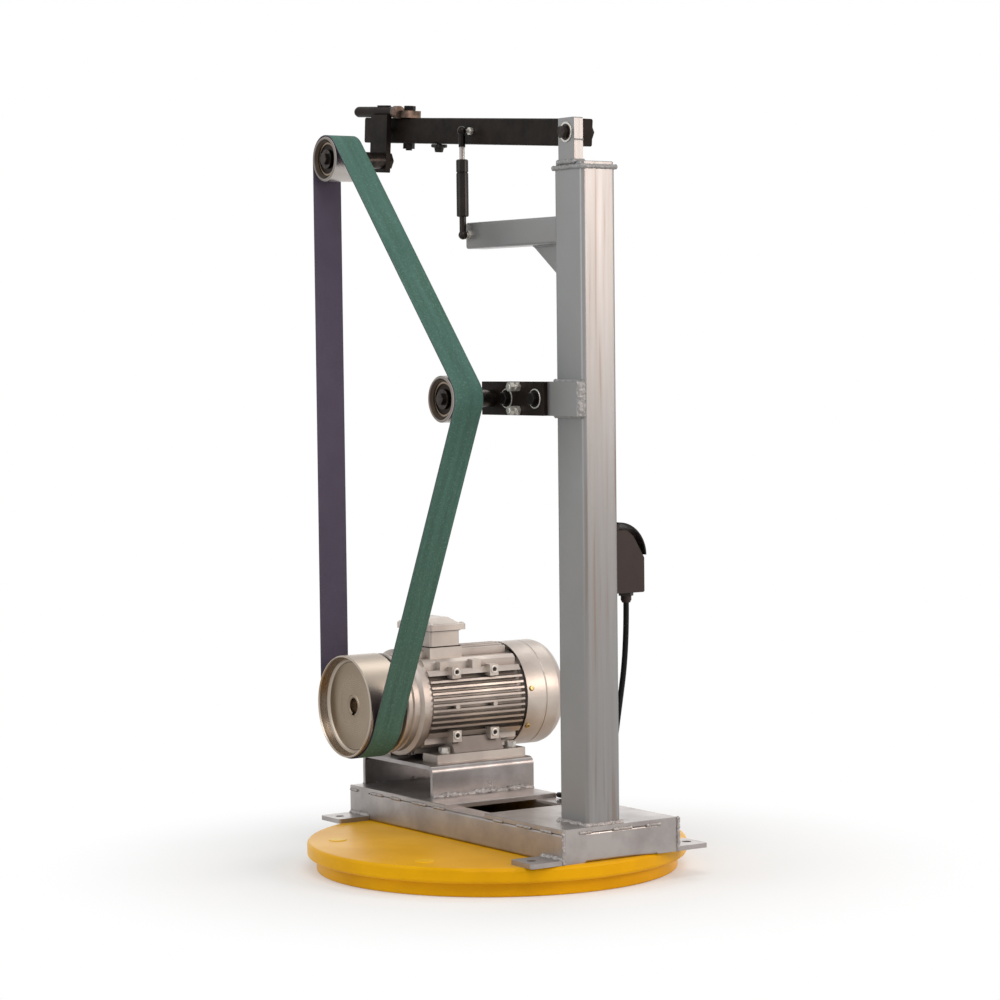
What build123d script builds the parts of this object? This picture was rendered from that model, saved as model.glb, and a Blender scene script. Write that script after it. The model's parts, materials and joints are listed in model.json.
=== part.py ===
from build123d import *
import math
import os

os.makedirs("parts", exist_ok=True)

# Frame: X along the base towards the column, -Y towards the belt side, Z up, millimetres.
# The origin lies on the floor under the middle of the welded base frame.

# Round floor stand
DISC_PAST_BOLT = 18.6
DISC_X = 18.0
DISC_Y = -33.0
DISC_T = 23.0
DISC_EDGE_R = 5.0
PLINTH_H = 21.0
PLINTH_INSET = 14.0
PLUG_R = 14.0
PLUG_SINK = 6.0
PLUG_PROUD = 1.0
PLUG_IN = 47.0
PLUG_TURN = 59.85
FLOOR = PLINTH_H + DISC_T

# Welded base frame
BASE_L = 590.0
BASE_W = 208.0
RAIL_H = 44.0
RAIL_W = 40.0
END_RAIL_W = 57.0
RAIL_WALL = 3.0
RAIL_CORNER = 4.0
DECK_T = 7.0
DECK_EDGE = 0.8
MOTOR_DECK_END = -18.0
COLUMN_DECK_START = 90.0
LUG_W = 56.0
LUG_REACH = 56.0
LUG_T = 7.0
LUG_CORNER = 5.0
LUG_HOLE_R = 7.0
LUG_HOLE_OUT = 37.0
VENT_R = 5.0
RAIL_TOP = FLOOR + RAIL_H
DECK_TOP = RAIL_TOP + DECK_T
LUG_HOLE_X = BASE_L / 2 - LUG_W / 2
LUG_HOLE_Y = BASE_W / 2 + LUG_HOLE_OUT
DISC_R = math.hypot(LUG_HOLE_X - DISC_X, LUG_HOLE_Y + DISC_Y) + DISC_PAST_BOLT

# Column, cap and pivot cheek
COLUMN_X = 252.0
COLUMN_Y = -25.0
COLUMN_DEPTH = 60.0
COLUMN_WIDTH = 70.0
COLUMN_WALL = 3.0
COLUMN_CORNER = 6.0
COLUMN_H = 956.0
CAP_T = 8.0
CAP_INSET = 1.0
CHEEK_X = 248.0
CHEEK_W = 40.0
CHEEK_T = 16.5
CHEEK_OVER = 21.0
CHEEK_EDGE_R = 2.0
CHEEK_JOINT = 11.5
CHEEK_JOINT_W = 1.0
COLUMN_FRONT = COLUMN_Y - COLUMN_DEPTH / 2
COLUMN_BACK = COLUMN_Y + COLUMN_DEPTH / 2
COLUMN_LEFT = COLUMN_X - COLUMN_WIDTH / 2
COLUMN_RIGHT = COLUMN_X + COLUMN_WIDTH / 2
COLUMN_TOP = DECK_TOP + COLUMN_H
CAP_TOP = COLUMN_TOP + CAP_T
CHEEK_BACK = COLUMN_FRONT + CHEEK_T

# Belt and the wheels it runs on
BELT_W = 50.0
BELT_T = 1.5
BELT_GAP = 0.3
BELT_Y = -138.0
DRIVE_R = 80.0
IDLER_R = 35.0
CONTACT_R = 35.0
CONTACT_X = 76.0
CONTACT_H = 672.0
CONTACT_Z = FLOOR + CONTACT_H
SMALL_WHEEL_W = 54.0
WHEEL_CROWN = 0.2
WHEEL_FRONT = BELT_Y - SMALL_WHEEL_W / 2
WHEEL_BACK = BELT_Y + SMALL_WHEEL_W / 2

# Bearings and axles of the two small wheels
BEARING_R = 26.0
BEARING_W = 15.0
BEARING_SINK = 6.0
AXLE_R = 10.0
AXLE_STEP_R = 12.0
AXLE_COLLAR_R = 13.0
AXLE_THREAD_R = 8.0
AXLE_NUT_AF = 24.0
AXLE_NUT_T = 6.0
AXLE_TIP = 1.5
HUB_BORE_R = 20.0
AXLE_WASHER_R = 15.0
AXLE_WASHER_T = 2.5
AXLE_HEAD_AF = 17.0
AXLE_HEAD_H = 6.0
RUN_GAP = 0.05
END_GAP = 0.4

# Contact wheel bracket on the column
BAR_H = 50.0
BAR_T = 12.0
BAR_START = 100.0
CONTACT_PLATE_T = 6.0
CONTACT_PLATE_START = 50.0
CONTACT_PLATE_END = 213.0
CONTACT_BOLTS_X = (117.0, 190.0)
CONTACT_BOLT_R = 6.0
JACK_X = 146.0
JACK_RISE = 17.5
JACK_R = 4.0
JACK_PROUD = 18.0
BAR_FRONT = COLUMN_FRONT - BAR_T
CONTACT_FACE = BAR_FRONT - CONTACT_PLATE_T

# Gas spring bracket on the column
BRACKET_SIDE = 40.0
BRACKET_WALL = 3.0
BRACKET_END = -30.0
BRACKET_FRONT = -45.0
BRACKET_H = 918.5
BRACKET_Z = FLOOR + BRACKET_H
GUSSET_L = 88.0
GUSSET_H = 59.0
GUSSET_T = 8.0
GUSSET_NOSE = 9.0

# Tension arm, drawn level about its pivot and then tilted
ARM_TILT = 4.1
ARM_H = 40.0
ARM_W = 20.0
ARM_WALL = 3.0
ARM_LEFT = 582.0
ARM_RIGHT = 15.0
SIDE_GAP = 0.5
PIVOT_X = CHEEK_X
PIVOT_RISE = 43.0
PIVOT_Z = CAP_TOP + PIVOT_RISE
PIVOT_R = 6.0
PIVOT_HEAD_AF = 17.0
PIVOT_WASHER_R = 11.5
PIVOT_NUT_T = 6.0
PIVOT_NUT_AF = 19.0
STUD_U = -272.7
ARM_FRONT = CHEEK_BACK + SIDE_GAP
ARM_BACK = ARM_FRONT + ARM_W
ARM_MID = ARM_FRONT + ARM_W / 2

# Tracking hinge and idler hanger, in the arm's own drawing
HINGE_Y = -46.7
HINGE_V = 28.5
BARREL_R = 8.5
BARREL_OVER = 5.0
BARREL_L = 109.0
BARREL_START = -ARM_LEFT - BARREL_OVER
BARREL_END = BARREL_START + BARREL_L
HINGE_PIN_R = 5.0
KNUCKLE_R = 9.8
KNUCKLE_L = 13.0
BOSS_L = 34.0
BOSS_W = 8.0
STRAP_LAP = 8.0
STRAP_L = 41.0
STRAP_START = BARREL_END - STRAP_LAP
STRAP_END = STRAP_START + STRAP_L
STRAP_OUT = 8.0
STRAP_H = 11.0
STRAP_BOLT_IN = 19.0
STRAP_BOLT_U = STRAP_END - STRAP_BOLT_IN
STRAP_BOLT_R = 5.0
HANGER_IN = 76.0
HANGER_U = HANGER_IN - ARM_LEFT
HANGER_W = 48.0
HANGER_T = 8.5
HANGER_FRONT = -59.0
HANGER_BOTTOM = -67.0
HANGER_CORNER = 2.0
IDLER_ASIDE = 11.0
IDLER_U = HANGER_U + IDLER_ASIDE
IDLER_V = -48.4
TRACK_ASIDE = 6.0
TRACK_U = HANGER_U - TRACK_ASIDE
TRACK_V = 0.0
TRACK_R = 4.0
TRACK_GAP = 0.4
KNOB_IN = 205.5
KNOB_U = KNOB_IN - ARM_LEFT
KNOB_R = 12.5
KNOB_H = 12.5
KNOB_RIM = 5.0
KNOB_HUB_R = 6.5
KNOB_STUD_R = 4.0
KNOB_FLUTES = 8

# Gas spring
STRUT_Y = -55.0
STRUT_TUBE_R = 9.3
STRUT_TUBE_WALL = 1.5
STRUT_ROD_R = 4.0
STRUT_TUBE_LOW = 27.5
STRUT_TUBE_HIGH = 114.5
STRUT_GROOVE = 94.5
BALL_R = 5.0
BALL_GAP = 0.3
SOCKET_R = 7.0
SOCKET_NECK_R = 5.2
BALL_Z = BRACKET_Z + 1.0

# Motor
MOTOR_X = -201.0
RISER_H = 49.0
RISER_LEFT = 93.0
RISER_RIGHT = 112.0
RISER_T = 6.0
RISER_BEND = 11.0
RISER_FRONT = -80.0
RISER_BACK = 111.0
RISER_TOP = DECK_TOP + RISER_H
FRAME_CORE_R = 73.0
FRAME_WALL = 7.0
FIN_DEPTH = 12.0
FIN_CLEAR = 5.0
FRAME_BORE_R = FRAME_CORE_R - FRAME_WALL
FIN_R = FRAME_CORE_R + FIN_DEPTH
SHAFT_H = FIN_R + FIN_CLEAR
MOTOR_Z = RISER_TOP + SHAFT_H
FIN_T = 3.2
FIN_PITCH = 9.0
SIDE_FINS = 4
TOP_FINS = 3
FRAME_FRONT = -66.0
FRAME_BACK = 118.0
FRAME_BAND = 8.0
FIN_STOP = 3.0
PAD_HOLES_Y = (-13.0, 58.0)
PAD_DROP = 23.0
EYE_DROP = 4.5
EYE_R = 4.0
POSTS_Y = (-27.0, 34.0)
FOOT_FRONT = -56.0
FOOT_BACK = 110.0
FOOT_HOLE_X = 70.0
FOOT_HOLES_Y = (-30.0, 95.0)
FOOT_HOLE_R = 5.0
FOOT_T = 13.0
FOOT_IN = 48.0
FOOT_OUT = 90.5
FOOT_WEB_END = 37.0
FOOT_BOLT_AF = 16.0
FOOT_BOLT_HEAD = 7.0
FOOT_NUT_T = 8.0
FOOT_WASHER_R = 9.5
FOOT_WASHER_T = 2.0
STATOR_BORE_R = 45.0
STATOR_IN = 42.0
WINDING_L = 24.0
ROTOR_IN = 40.0
AIR_GAP = 0.6
SHAFT_R = 12.0
BEARING_SEAT_R = 13.0
SHAFT_SET_BACK = 14.0
MOTOR_BEARING_R = 26.0
MOTOR_BEARING_W = 15.0
FRONT_BEARING_Y = -88.0
REAR_BEARING_Y = 116.0
SHIELD_FRONT = -102.0
COWL_OVER = 11.0
SHIELD_OVER = 2.0
COWL_R = FRAME_CORE_R + COWL_OVER
COWL_FRONT = 121.0
COWL_BACK = 198.0
COWL_WALL = 1.5
COWL_GROOVE_Y = 158.0
GRILLE_PITCH = 9.0
FAN_GAP = 14.0
FAN_HUB_R = 20.0
FAN_BLADE_T = 2.4
FAN_R = COWL_R - FAN_GAP
BOX_Y0 = -35.0
BOX_Y1 = 21.0
BOX_HALF_X = 40.0
BOX_PAD_H = 10.0
BOX_OVER = 1.0
BOX_H = 27.0
BOX_LOW = MOTOR_Z + FIN_R + BOX_OVER
BOX_TOP = BOX_LOW + BOX_H
BOX_WALL = 4.0
LID_HALF_X = 50.0
LID_OVER = 7.0
LID_T = 10.0
LID_RISE = 8.5
DRIVE_FRONT = -171.0
DRIVE_BACK = -109.0
DRIVE_RIM = 5.0
DRIVE_WEB = 17.0
DRIVE_WEB_T = 12.0
KEY_W = 8.0
KEY_H = 7.0
KEY_L = 26.0
KEY_SINK = 4.0

# Switch on the back of the column
SWITCH_W = 50.0
SWITCH_DEPTH = 55.0
SWITCH_RISE = 386.0
SWITCH_H = 93.0
SWITCH_LOW = FLOOR + SWITCH_RISE
SWITCH_HIGH = SWITCH_LOW + SWITCH_H
SWITCH_WALL = 4.0
SLOPE_Y = 20.0
SLOPE_Z = 33.0
SLOPE_TOP = 9.0
FLAP_W = 50.0
FLAP_T = 2.2
FLAP_RISE = 3.2
FLAP_REACH = 50.0
FLAP_DROP = 45.0
FLAP_HINGE_Y = COLUMN_BACK + 7.0
FLAP_HINGE_Z = SWITCH_HIGH + 7.0
FLAP_PIN_R = 1.8
FLAP_EYE_R = 4.3
BUTTON_R = 9.0
BUTTON_L = 9.0
BUTTON_GAP = 0.4
BUTTON_PROUD = 3.0
BEZEL_W = 4.0
BEZEL_T = 1.5
LEAD_R = 4.25
LEAD_OUT = 38.6
LEAD_DROPS = (86.0, 186.0, 270.0)
GLAND_L = 16.0
GLAND_AF = 19.0
GLAND_R = 8.0
MOTOR_GLAND_Y = 8.0
MOTOR_GLAND_DROP = 15.0


def box(x0, x1, y0, y1, z0, z1):
    block = Box(x1 - x0, y1 - y0, z1 - z0)
    return Pos((x0 + x1) / 2, (y0 + y1) / 2, (z0 + z1) / 2) * block


def rod_x(radius, x0, x1, y, z):
    return Pos((x0 + x1) / 2, y, z) * Rot(0, 90, 0) * Cylinder(radius, x1 - x0)


def rod_y(radius, y0, y1, x, z):
    return Pos(x, (y0 + y1) / 2, z) * Rot(90, 0, 0) * Cylinder(radius, y1 - y0)


def rod_z(radius, z0, z1, x, y):
    return Pos(x, y, (z0 + z1) / 2) * Cylinder(radius, z1 - z0)


def prism_y(sketch, y0, y1):
    """Sketch drawn with X to the right and Z up, run along Y."""
    front = Plane(origin=(0, y1, 0), x_dir=(1, 0, 0), z_dir=(0, -1, 0))
    return extrude(front * sketch, amount=y1 - y0)


def prism_x(sketch, x0, x1):
    """Sketch drawn with Y to the right and Z up, run along X."""
    side = Plane(origin=(x0, 0, 0), x_dir=(0, 1, 0), z_dir=(1, 0, 0))
    return extrude(side * sketch, amount=x1 - x0)


def prism_z(sketch, z0, z1):
    return extrude(Plane(origin=(0, 0, z0)) * sketch, amount=z1 - z0)


def polygon(*points):
    return make_face(Polyline(*points, close=True))


def hexagon(flats):
    return RegularPolygon(flats / 2, 6, major_radius=False)


def hex_y(flats, y0, y1, x, z):
    return prism_y(Pos(x, z) * hexagon(flats), y0, y1)


def hex_z(flats, z0, z1, x, y):
    return prism_z(Pos(x, y) * hexagon(flats), z0, z1)


def turned_y(x, z, *points):
    """Solid of revolution about Y from (radius, y) points."""
    return Pos(x, 0, z) * revolve(polygon(*points), Axis.Y)


def turned_z(x, y, *points):
    """Solid of revolution about Z from (radius, z) points."""
    return Pos(x, y, 0) * Rot(90, 0, 0) * revolve(polygon(*points), Axis.Y)


def hex_bolt_y(radius, flats, head, washer_r, face, tip, x, z):
    """Bolt along Y: shank from the face to the tip, washer and hexagon head in front of the face."""
    bolt = rod_y(radius, face, tip, x, z)
    bolt += rod_y(washer_r, face - 2.5, face, x, z)
    top = hex_y(flats, face - 2.5 - head, face - 2.5, x, z)
    return bolt + chamfer(top.edges().group_by(Axis.Y)[0], 0.9)


def nut_y(radius, flats, y0, y1, x, z):
    return hex_y(flats, y0, y1, x, z) - rod_y(radius, y0 - 1, y1 + 1, x, z)


def save(name, *solids):
    """Write one node; pieces of one kind go out together as a group."""
    shape = solids[0] if len(solids) == 1 else Compound(children=list(solids))
    export_step(shape, "parts/" + name + ".step")


def tilted(part):
    """Put a piece drawn about the arm's pivot into its resting place."""
    return Pos(PIVOT_X, 0, PIVOT_Z) * Rot(0, ARM_TILT, 0) * part


def from_arm(u, v):
    """Place in X and Z of a point given in the arm's own drawing."""
    turn = math.radians(ARM_TILT)
    x = PIVOT_X + u * math.cos(turn) + v * math.sin(turn)
    z = PIVOT_Z - u * math.sin(turn) + v * math.cos(turn)
    return x, z


IDLER_X, IDLER_Z = from_arm(IDLER_U, IDLER_V)
STUD_X, STUD_Z = from_arm(STUD_U, 0)


# Round floor stand: a rounded disc on a smaller plinth, with four plugs
bolt_way = rod_z(LUG_HOLE_R, PLINTH_H - 1, FLOOR + 1, LUG_HOLE_X, -LUG_HOLE_Y)
plinth = rod_z(DISC_R - PLINTH_INSET, 0, PLINTH_H, DISC_X, DISC_Y)
plinth = fillet(plinth.edges().group_by(Axis.Z)[0], 2)
disc = rod_z(DISC_R, PLINTH_H, FLOOR, DISC_X, DISC_Y)
disc = fillet(disc.edges(), DISC_EDGE_R)
plug_reach = DISC_R - PLUG_IN
plug_turn = math.radians(PLUG_TURN)
plugs = []
for side_x in (-1, 1):
    for side_y in (-1, 1):
        plug_x = DISC_X + side_x * plug_reach * math.cos(plug_turn)
        plug_y = DISC_Y + side_y * plug_reach * math.sin(plug_turn)
        disc -= rod_z(PLUG_R, FLOOR - PLUG_SINK, FLOOR + 1, plug_x, plug_y)
        plug = rod_z(PLUG_R, FLOOR - PLUG_SINK, FLOOR + PLUG_PROUD, plug_x, plug_y)
        plugs.append(chamfer(plug.edges().group_by(Axis.Z)[-1], 0.7))
save("floor_plinth", plinth)
save("floor_disc", disc - bolt_way)
save("disc_plugs", *plugs)


# Base frame: closed hollow rails, two deck plates and four anchor lugs
def hollow_rail(x0, x1, y0, y1, along):
    """Rail with rounded long edges, walls all round and a vent hole underneath."""
    rail = box(x0, x1, y0, y1, FLOOR, RAIL_TOP)
    rail = fillet(rail.edges().filter_by(along), RAIL_CORNER)
    rail -= box(x0 + RAIL_WALL, x1 - RAIL_WALL, y0 + RAIL_WALL, y1 - RAIL_WALL,
                FLOOR + RAIL_WALL, RAIL_TOP - RAIL_WALL)
    return rail - rod_z(VENT_R, FLOOR - 1, FLOOR + RAIL_WALL + 1, (x0 + x1) / 2, (y0 + y1) / 2)


half_l = BASE_L / 2
half_w = BASE_W / 2
long_start = -half_l + END_RAIL_W
save("rail_left", hollow_rail(-half_l, long_start, -half_w, half_w, Axis.Y))
front_rail = hollow_rail(long_start, half_l, -half_w, -half_w + RAIL_W, Axis.X)
rear_rail = hollow_rail(long_start, half_l, half_w - RAIL_W, half_w, Axis.X)
save("long_rails", front_rail, rear_rail)
save("rail_right", hollow_rail(half_l - RAIL_W, half_l, -half_w + RAIL_W, half_w - RAIL_W, Axis.Y))
motor_deck = box(-half_l, MOTOR_DECK_END, -half_w, half_w, RAIL_TOP, DECK_TOP)
column_deck = box(COLUMN_DECK_START, half_l, -half_w, half_w, RAIL_TOP, DECK_TOP)
save("motor_deck", chamfer(motor_deck.edges().group_by(Axis.Z)[-1], DECK_EDGE))
save("column_deck", chamfer(column_deck.edges().group_by(Axis.Z)[-1], DECK_EDGE))

lug = box(half_l - LUG_W, half_l, -half_w - LUG_REACH, -half_w, FLOOR, FLOOR + LUG_T)
lug = fillet(lug.edges().filter_by(Axis.Z).group_by(Axis.Y)[0], LUG_CORNER)
lug -= rod_z(LUG_HOLE_R, FLOOR - 1, FLOOR + LUG_T + 1, LUG_HOLE_X, -LUG_HOLE_Y)
save("anchor_lugs", lug, mirror(lug, Plane.YZ), mirror(lug, Plane.XZ), Rot(0, 0, 180) * lug)


# Motor riser: one plate bent to an upside-down channel
riser_left = MOTOR_X - RISER_LEFT
riser_right = MOTOR_X + RISER_RIGHT
riser_outer = polygon(
    (riser_left, DECK_TOP),
    (riser_left, RISER_TOP),
    (riser_right, RISER_TOP),
    (riser_right, DECK_TOP),
)
riser_outer = fillet(riser_outer.vertices().group_by(Axis.Y)[-1], RISER_BEND)
riser_inner = polygon(
    (riser_left + RISER_T, DECK_TOP),
    (riser_left + RISER_T, RISER_TOP - RISER_T),
    (riser_right - RISER_T, RISER_TOP - RISER_T),
    (riser_right - RISER_T, DECK_TOP),
)
riser_inner = fillet(riser_inner.vertices().group_by(Axis.Y)[-1], RISER_BEND - RISER_T)
riser = prism_y(riser_outer - riser_inner, RISER_FRONT, RISER_BACK)
foot_holes = [(MOTOR_X + side * FOOT_HOLE_X, y) for side in (-1, 1) for y in FOOT_HOLES_Y]
for hole_x, hole_y in foot_holes:
    riser -= rod_z(FOOT_HOLE_R, RISER_TOP - RISER_T - 1, RISER_TOP + 1, hole_x, hole_y)
save("motor_riser", riser)


# Column, cap, cheek and pivot bolt
def column_face(inset):
    """Section of the column, set in all round."""
    rounded = RectangleRounded(COLUMN_WIDTH - 2 * inset, COLUMN_DEPTH - 2 * inset, COLUMN_CORNER - inset)
    return Pos(COLUMN_X, COLUMN_Y) * rounded


save("column_tube", prism_z(column_face(0) - column_face(COLUMN_WALL), DECK_TOP, COLUMN_TOP))
cap = prism_z(column_face(CAP_INSET), COLUMN_TOP, CAP_TOP)
save("column_cap", chamfer(cap.edges().group_by(Axis.Z)[-1], 1))

cheek_face = COLUMN_FRONT + CAP_INSET
cheek_left = CHEEK_X - CHEEK_W / 2
cheek_right = cheek_left + CHEEK_W
cheek = box(cheek_left, cheek_right, cheek_face, CHEEK_BACK, CAP_TOP, PIVOT_Z + CHEEK_OVER)
cheek = fillet(cheek.edges().filter_by(Axis.Y).group_by(Axis.Z)[-1], CHEEK_EDGE_R)
cheek -= rod_y(PIVOT_R, cheek_face - 1, CHEEK_BACK + 1, PIVOT_X, PIVOT_Z)
joint_z = PIVOT_Z - CHEEK_JOINT
cheek -= box(cheek_right - CHEEK_JOINT_W, cheek_right + 1, cheek_face - 1, CHEEK_BACK + 1,
             joint_z - CHEEK_JOINT_W / 2, joint_z + CHEEK_JOINT_W / 2)
save("pivot_cheek", cheek)
nut_start = ARM_BACK + SIDE_GAP
nut_end = nut_start + PIVOT_NUT_T
pivot_bolt = hex_bolt_y(PIVOT_R, PIVOT_HEAD_AF, 8, PIVOT_WASHER_R, cheek_face, nut_end + 1, PIVOT_X, PIVOT_Z)
pivot_nut = nut_y(PIVOT_R, PIVOT_NUT_AF, nut_start, nut_end, PIVOT_X, PIVOT_Z)
save("pivot_bolt", pivot_bolt, pivot_nut)


# Gas spring bracket: a square tube with a closed end, and its gusset
def square_tube(side, width, wall, corner):
    outer = RectangleRounded(width, side, corner)
    inner = RectangleRounded(width - 2 * wall, side - 2 * wall, corner - wall / 2)
    return outer - inner


bracket_mid = BRACKET_FRONT + BRACKET_SIDE / 2
bracket_face = Pos(bracket_mid, BRACKET_Z) * square_tube(BRACKET_SIDE, BRACKET_SIDE, BRACKET_WALL, 4)
bracket = prism_x(bracket_face, BRACKET_END, COLUMN_LEFT)
bracket_cap = Pos(bracket_mid, BRACKET_Z) * RectangleRounded(BRACKET_SIDE - 4, BRACKET_SIDE - 4, 3)
bracket += prism_x(bracket_cap, BRACKET_END, BRACKET_END + BRACKET_WALL)
bracket -= rod_y(BALL_R - 1, BRACKET_FRONT - 1, BRACKET_FRONT + BRACKET_WALL + 1, STUD_X, BALL_Z)
save("spring_bracket", bracket)
gusset_top = BRACKET_Z - BRACKET_SIDE / 2
gusset_face = polygon(
    (COLUMN_LEFT, gusset_top),
    (COLUMN_LEFT - GUSSET_L, gusset_top),
    (COLUMN_LEFT - GUSSET_L, gusset_top - GUSSET_NOSE / 3),
    (COLUMN_LEFT - GUSSET_NOSE, gusset_top - GUSSET_H),
    (COLUMN_LEFT, gusset_top - GUSSET_H),
)
save("bracket_gusset", prism_y(gusset_face, bracket_mid - GUSSET_T / 2, bracket_mid + GUSSET_T / 2))


# Contact wheel bracket: welded bar, bolted black plate, jack screws
plate_low = CONTACT_Z - BAR_H / 2
plate_high = CONTACT_Z + BAR_H / 2
bar = box(BAR_START, COLUMN_RIGHT, BAR_FRONT, COLUMN_FRONT, plate_low, plate_high)
plate = box(CONTACT_PLATE_START, CONTACT_PLATE_END, CONTACT_FACE, BAR_FRONT, plate_low, plate_high)
plate = fillet(plate.edges().filter_by(Axis.Y), 1.5)
contact_bolts = []
for bolt_x in CONTACT_BOLTS_X:
    shank = rod_y(CONTACT_BOLT_R, CONTACT_FACE - 1, COLUMN_FRONT + 1, bolt_x, CONTACT_Z)
    bar -= shank
    plate -= shank
    bolt_tip = COLUMN_FRONT + 12
    contact_bolts.append(hex_bolt_y(CONTACT_BOLT_R, 18, 7, 12.5, CONTACT_FACE, bolt_tip, bolt_x, CONTACT_Z))
    contact_bolts.append(nut_y(CONTACT_BOLT_R, 18, COLUMN_FRONT, COLUMN_FRONT + 10, bolt_x, CONTACT_Z))
jacks = []
for rise in (-JACK_RISE, JACK_RISE):
    jack_z = CONTACT_Z + rise
    plate -= rod_y(JACK_R, CONTACT_FACE - 1, BAR_FRONT + 1, JACK_X, jack_z)
    jack = rod_y(JACK_R, CONTACT_FACE - JACK_PROUD, BAR_FRONT, JACK_X, jack_z)
    jack = chamfer(jack.edges().group_by(Axis.Y)[0], 0.8)
    jack += hex_y(13, CONTACT_FACE - JACK_PROUD + 1, CONTACT_FACE - JACK_PROUD + 7, JACK_X, jack_z)
    lock_nut = nut_y(JACK_R, 13, CONTACT_FACE - 6.5, CONTACT_FACE, JACK_X, jack_z)
    jacks.extend((jack, lock_nut))
plate -= rod_y(AXLE_THREAD_R, CONTACT_FACE - 1, BAR_FRONT + 1, CONTACT_X, CONTACT_Z)
save("contact_bar", bar)
save("contact_plate", plate)
save("contact_plate_bolts", *contact_bolts)
save("jack_screws", *jacks)


# The two small wheels: stepped axle, bearings and turned wheel
def wheel_axle(x, z, face, back):
    """Axle from the mounting face to the outer bearing, its nut behind and the bolt in front."""
    seat = WHEEL_FRONT + BEARING_SINK
    axle = turned_y(
        x, z,
        (0, seat),
        (AXLE_R, seat),
        (AXLE_R, WHEEL_BACK - BEARING_SINK + END_GAP),
        (AXLE_STEP_R, WHEEL_BACK - BEARING_SINK + END_GAP),
        (AXLE_STEP_R, WHEEL_BACK + 2),
        (AXLE_COLLAR_R, WHEEL_BACK + 4),
        (AXLE_COLLAR_R, face),
        (AXLE_THREAD_R, face),
        (AXLE_THREAD_R, back + AXLE_NUT_T + AXLE_TIP),
        (0, back + AXLE_NUT_T + AXLE_TIP),
    )
    nut = nut_y(AXLE_THREAD_R, AXLE_NUT_AF, back, back + AXLE_NUT_T, x, z)
    washer = rod_y(AXLE_WASHER_R, seat - AXLE_WASHER_T, seat, x, z)
    head = hex_y(AXLE_HEAD_AF, seat - AXLE_WASHER_T - AXLE_HEAD_H, seat - AXLE_WASHER_T, x, z)
    return axle, nut, chamfer(head.edges().group_by(Axis.Y)[0], 0.9) + washer


def small_wheel(x, z, radius):
    """Turned wheel with a slight crown and a stepped bearing seat at each end."""
    low = radius - WHEEL_CROWN
    front_seat = WHEEL_FRONT + BEARING_SINK + BEARING_W + END_GAP
    back_seat = WHEEL_BACK - BEARING_SINK - BEARING_W
    return turned_y(
        x, z,
        (radius - 4, WHEEL_FRONT),
        (low - 2, WHEEL_FRONT),
        (low, WHEEL_FRONT + 2),
        (radius, WHEEL_FRONT + 16),
        (radius, WHEEL_BACK - 16),
        (low, WHEEL_BACK - 2),
        (low - 2, WHEEL_BACK),
        (radius - 4, WHEEL_BACK),
        (BEARING_R + 3, WHEEL_BACK - 2.5),
        (BEARING_R, WHEEL_BACK - 5),
        (BEARING_R, back_seat),
        (HUB_BORE_R, back_seat),
        (HUB_BORE_R, front_seat),
        (BEARING_R, front_seat),
        (BEARING_R, WHEEL_FRONT + 5),
        (BEARING_R + 3, WHEEL_FRONT + 2.5),
    )


def ball_bearing(outer, inner, width, y, x, z):
    """Sealed ball bearing as one ring, with the seal set back on both sides."""
    lip = (outer - inner) * 0.27
    sink = 0.8
    end = y + width
    return turned_y(
        x, z,
        (inner, y),
        (inner + lip, y),
        (inner + lip, y + sink),
        (outer - lip, y + sink),
        (outer - lip, y),
        (outer, y),
        (outer, end),
        (outer - lip, end),
        (outer - lip, end - sink),
        (inner + lip, end - sink),
        (inner + lip, end),
        (inner, end),
    )


def bearing_pair(x, z):
    bore = AXLE_R + RUN_GAP
    front = ball_bearing(BEARING_R, bore, BEARING_W, WHEEL_FRONT + BEARING_SINK + END_GAP, x, z)
    back = ball_bearing(BEARING_R, bore, BEARING_W, WHEEL_BACK - BEARING_SINK - BEARING_W, x, z)
    return front, back


save("contact_axle", *wheel_axle(CONTACT_X, CONTACT_Z, CONTACT_FACE, BAR_FRONT))
save("contact_wheel", small_wheel(CONTACT_X, CONTACT_Z, CONTACT_R))
save("contact_bearings", *bearing_pair(CONTACT_X, CONTACT_Z))


# Tension arm and what is fixed to it
arm_face = Pos(ARM_MID, 0) * square_tube(ARM_H, ARM_W, ARM_WALL, 3)
arm = prism_x(arm_face, -ARM_LEFT, ARM_RIGHT)
arm_plug = Pos(ARM_MID, 0) * RectangleRounded(ARM_W - 3, ARM_H - 3, 2)
arm += prism_x(arm_plug, -ARM_LEFT, -ARM_LEFT + ARM_WALL)
arm += prism_x(arm_plug, ARM_RIGHT - ARM_WALL, ARM_RIGHT)
arm += rod_y(PIVOT_R + 4, ARM_FRONT, ARM_BACK, 0, 0)
arm -= rod_y(PIVOT_R + RUN_GAP, ARM_FRONT - 1, ARM_BACK + 1, 0, 0)
arm -= rod_z(STRAP_BOLT_R, -ARM_H, ARM_H, STRAP_BOLT_U, ARM_MID)
arm -= rod_z(KNOB_STUD_R + RUN_GAP, -ARM_H, 0, KNOB_U, ARM_MID)
arm -= rod_y(TRACK_R + RUN_GAP, ARM_FRONT - 1, ARM_BACK + 1, TRACK_U, TRACK_V)
arm -= rod_y(BALL_R - 2, ARM_FRONT - 1, ARM_FRONT + ARM_WALL + 1, STUD_U, 0)
save("tension_arm", tilted(arm))

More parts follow.
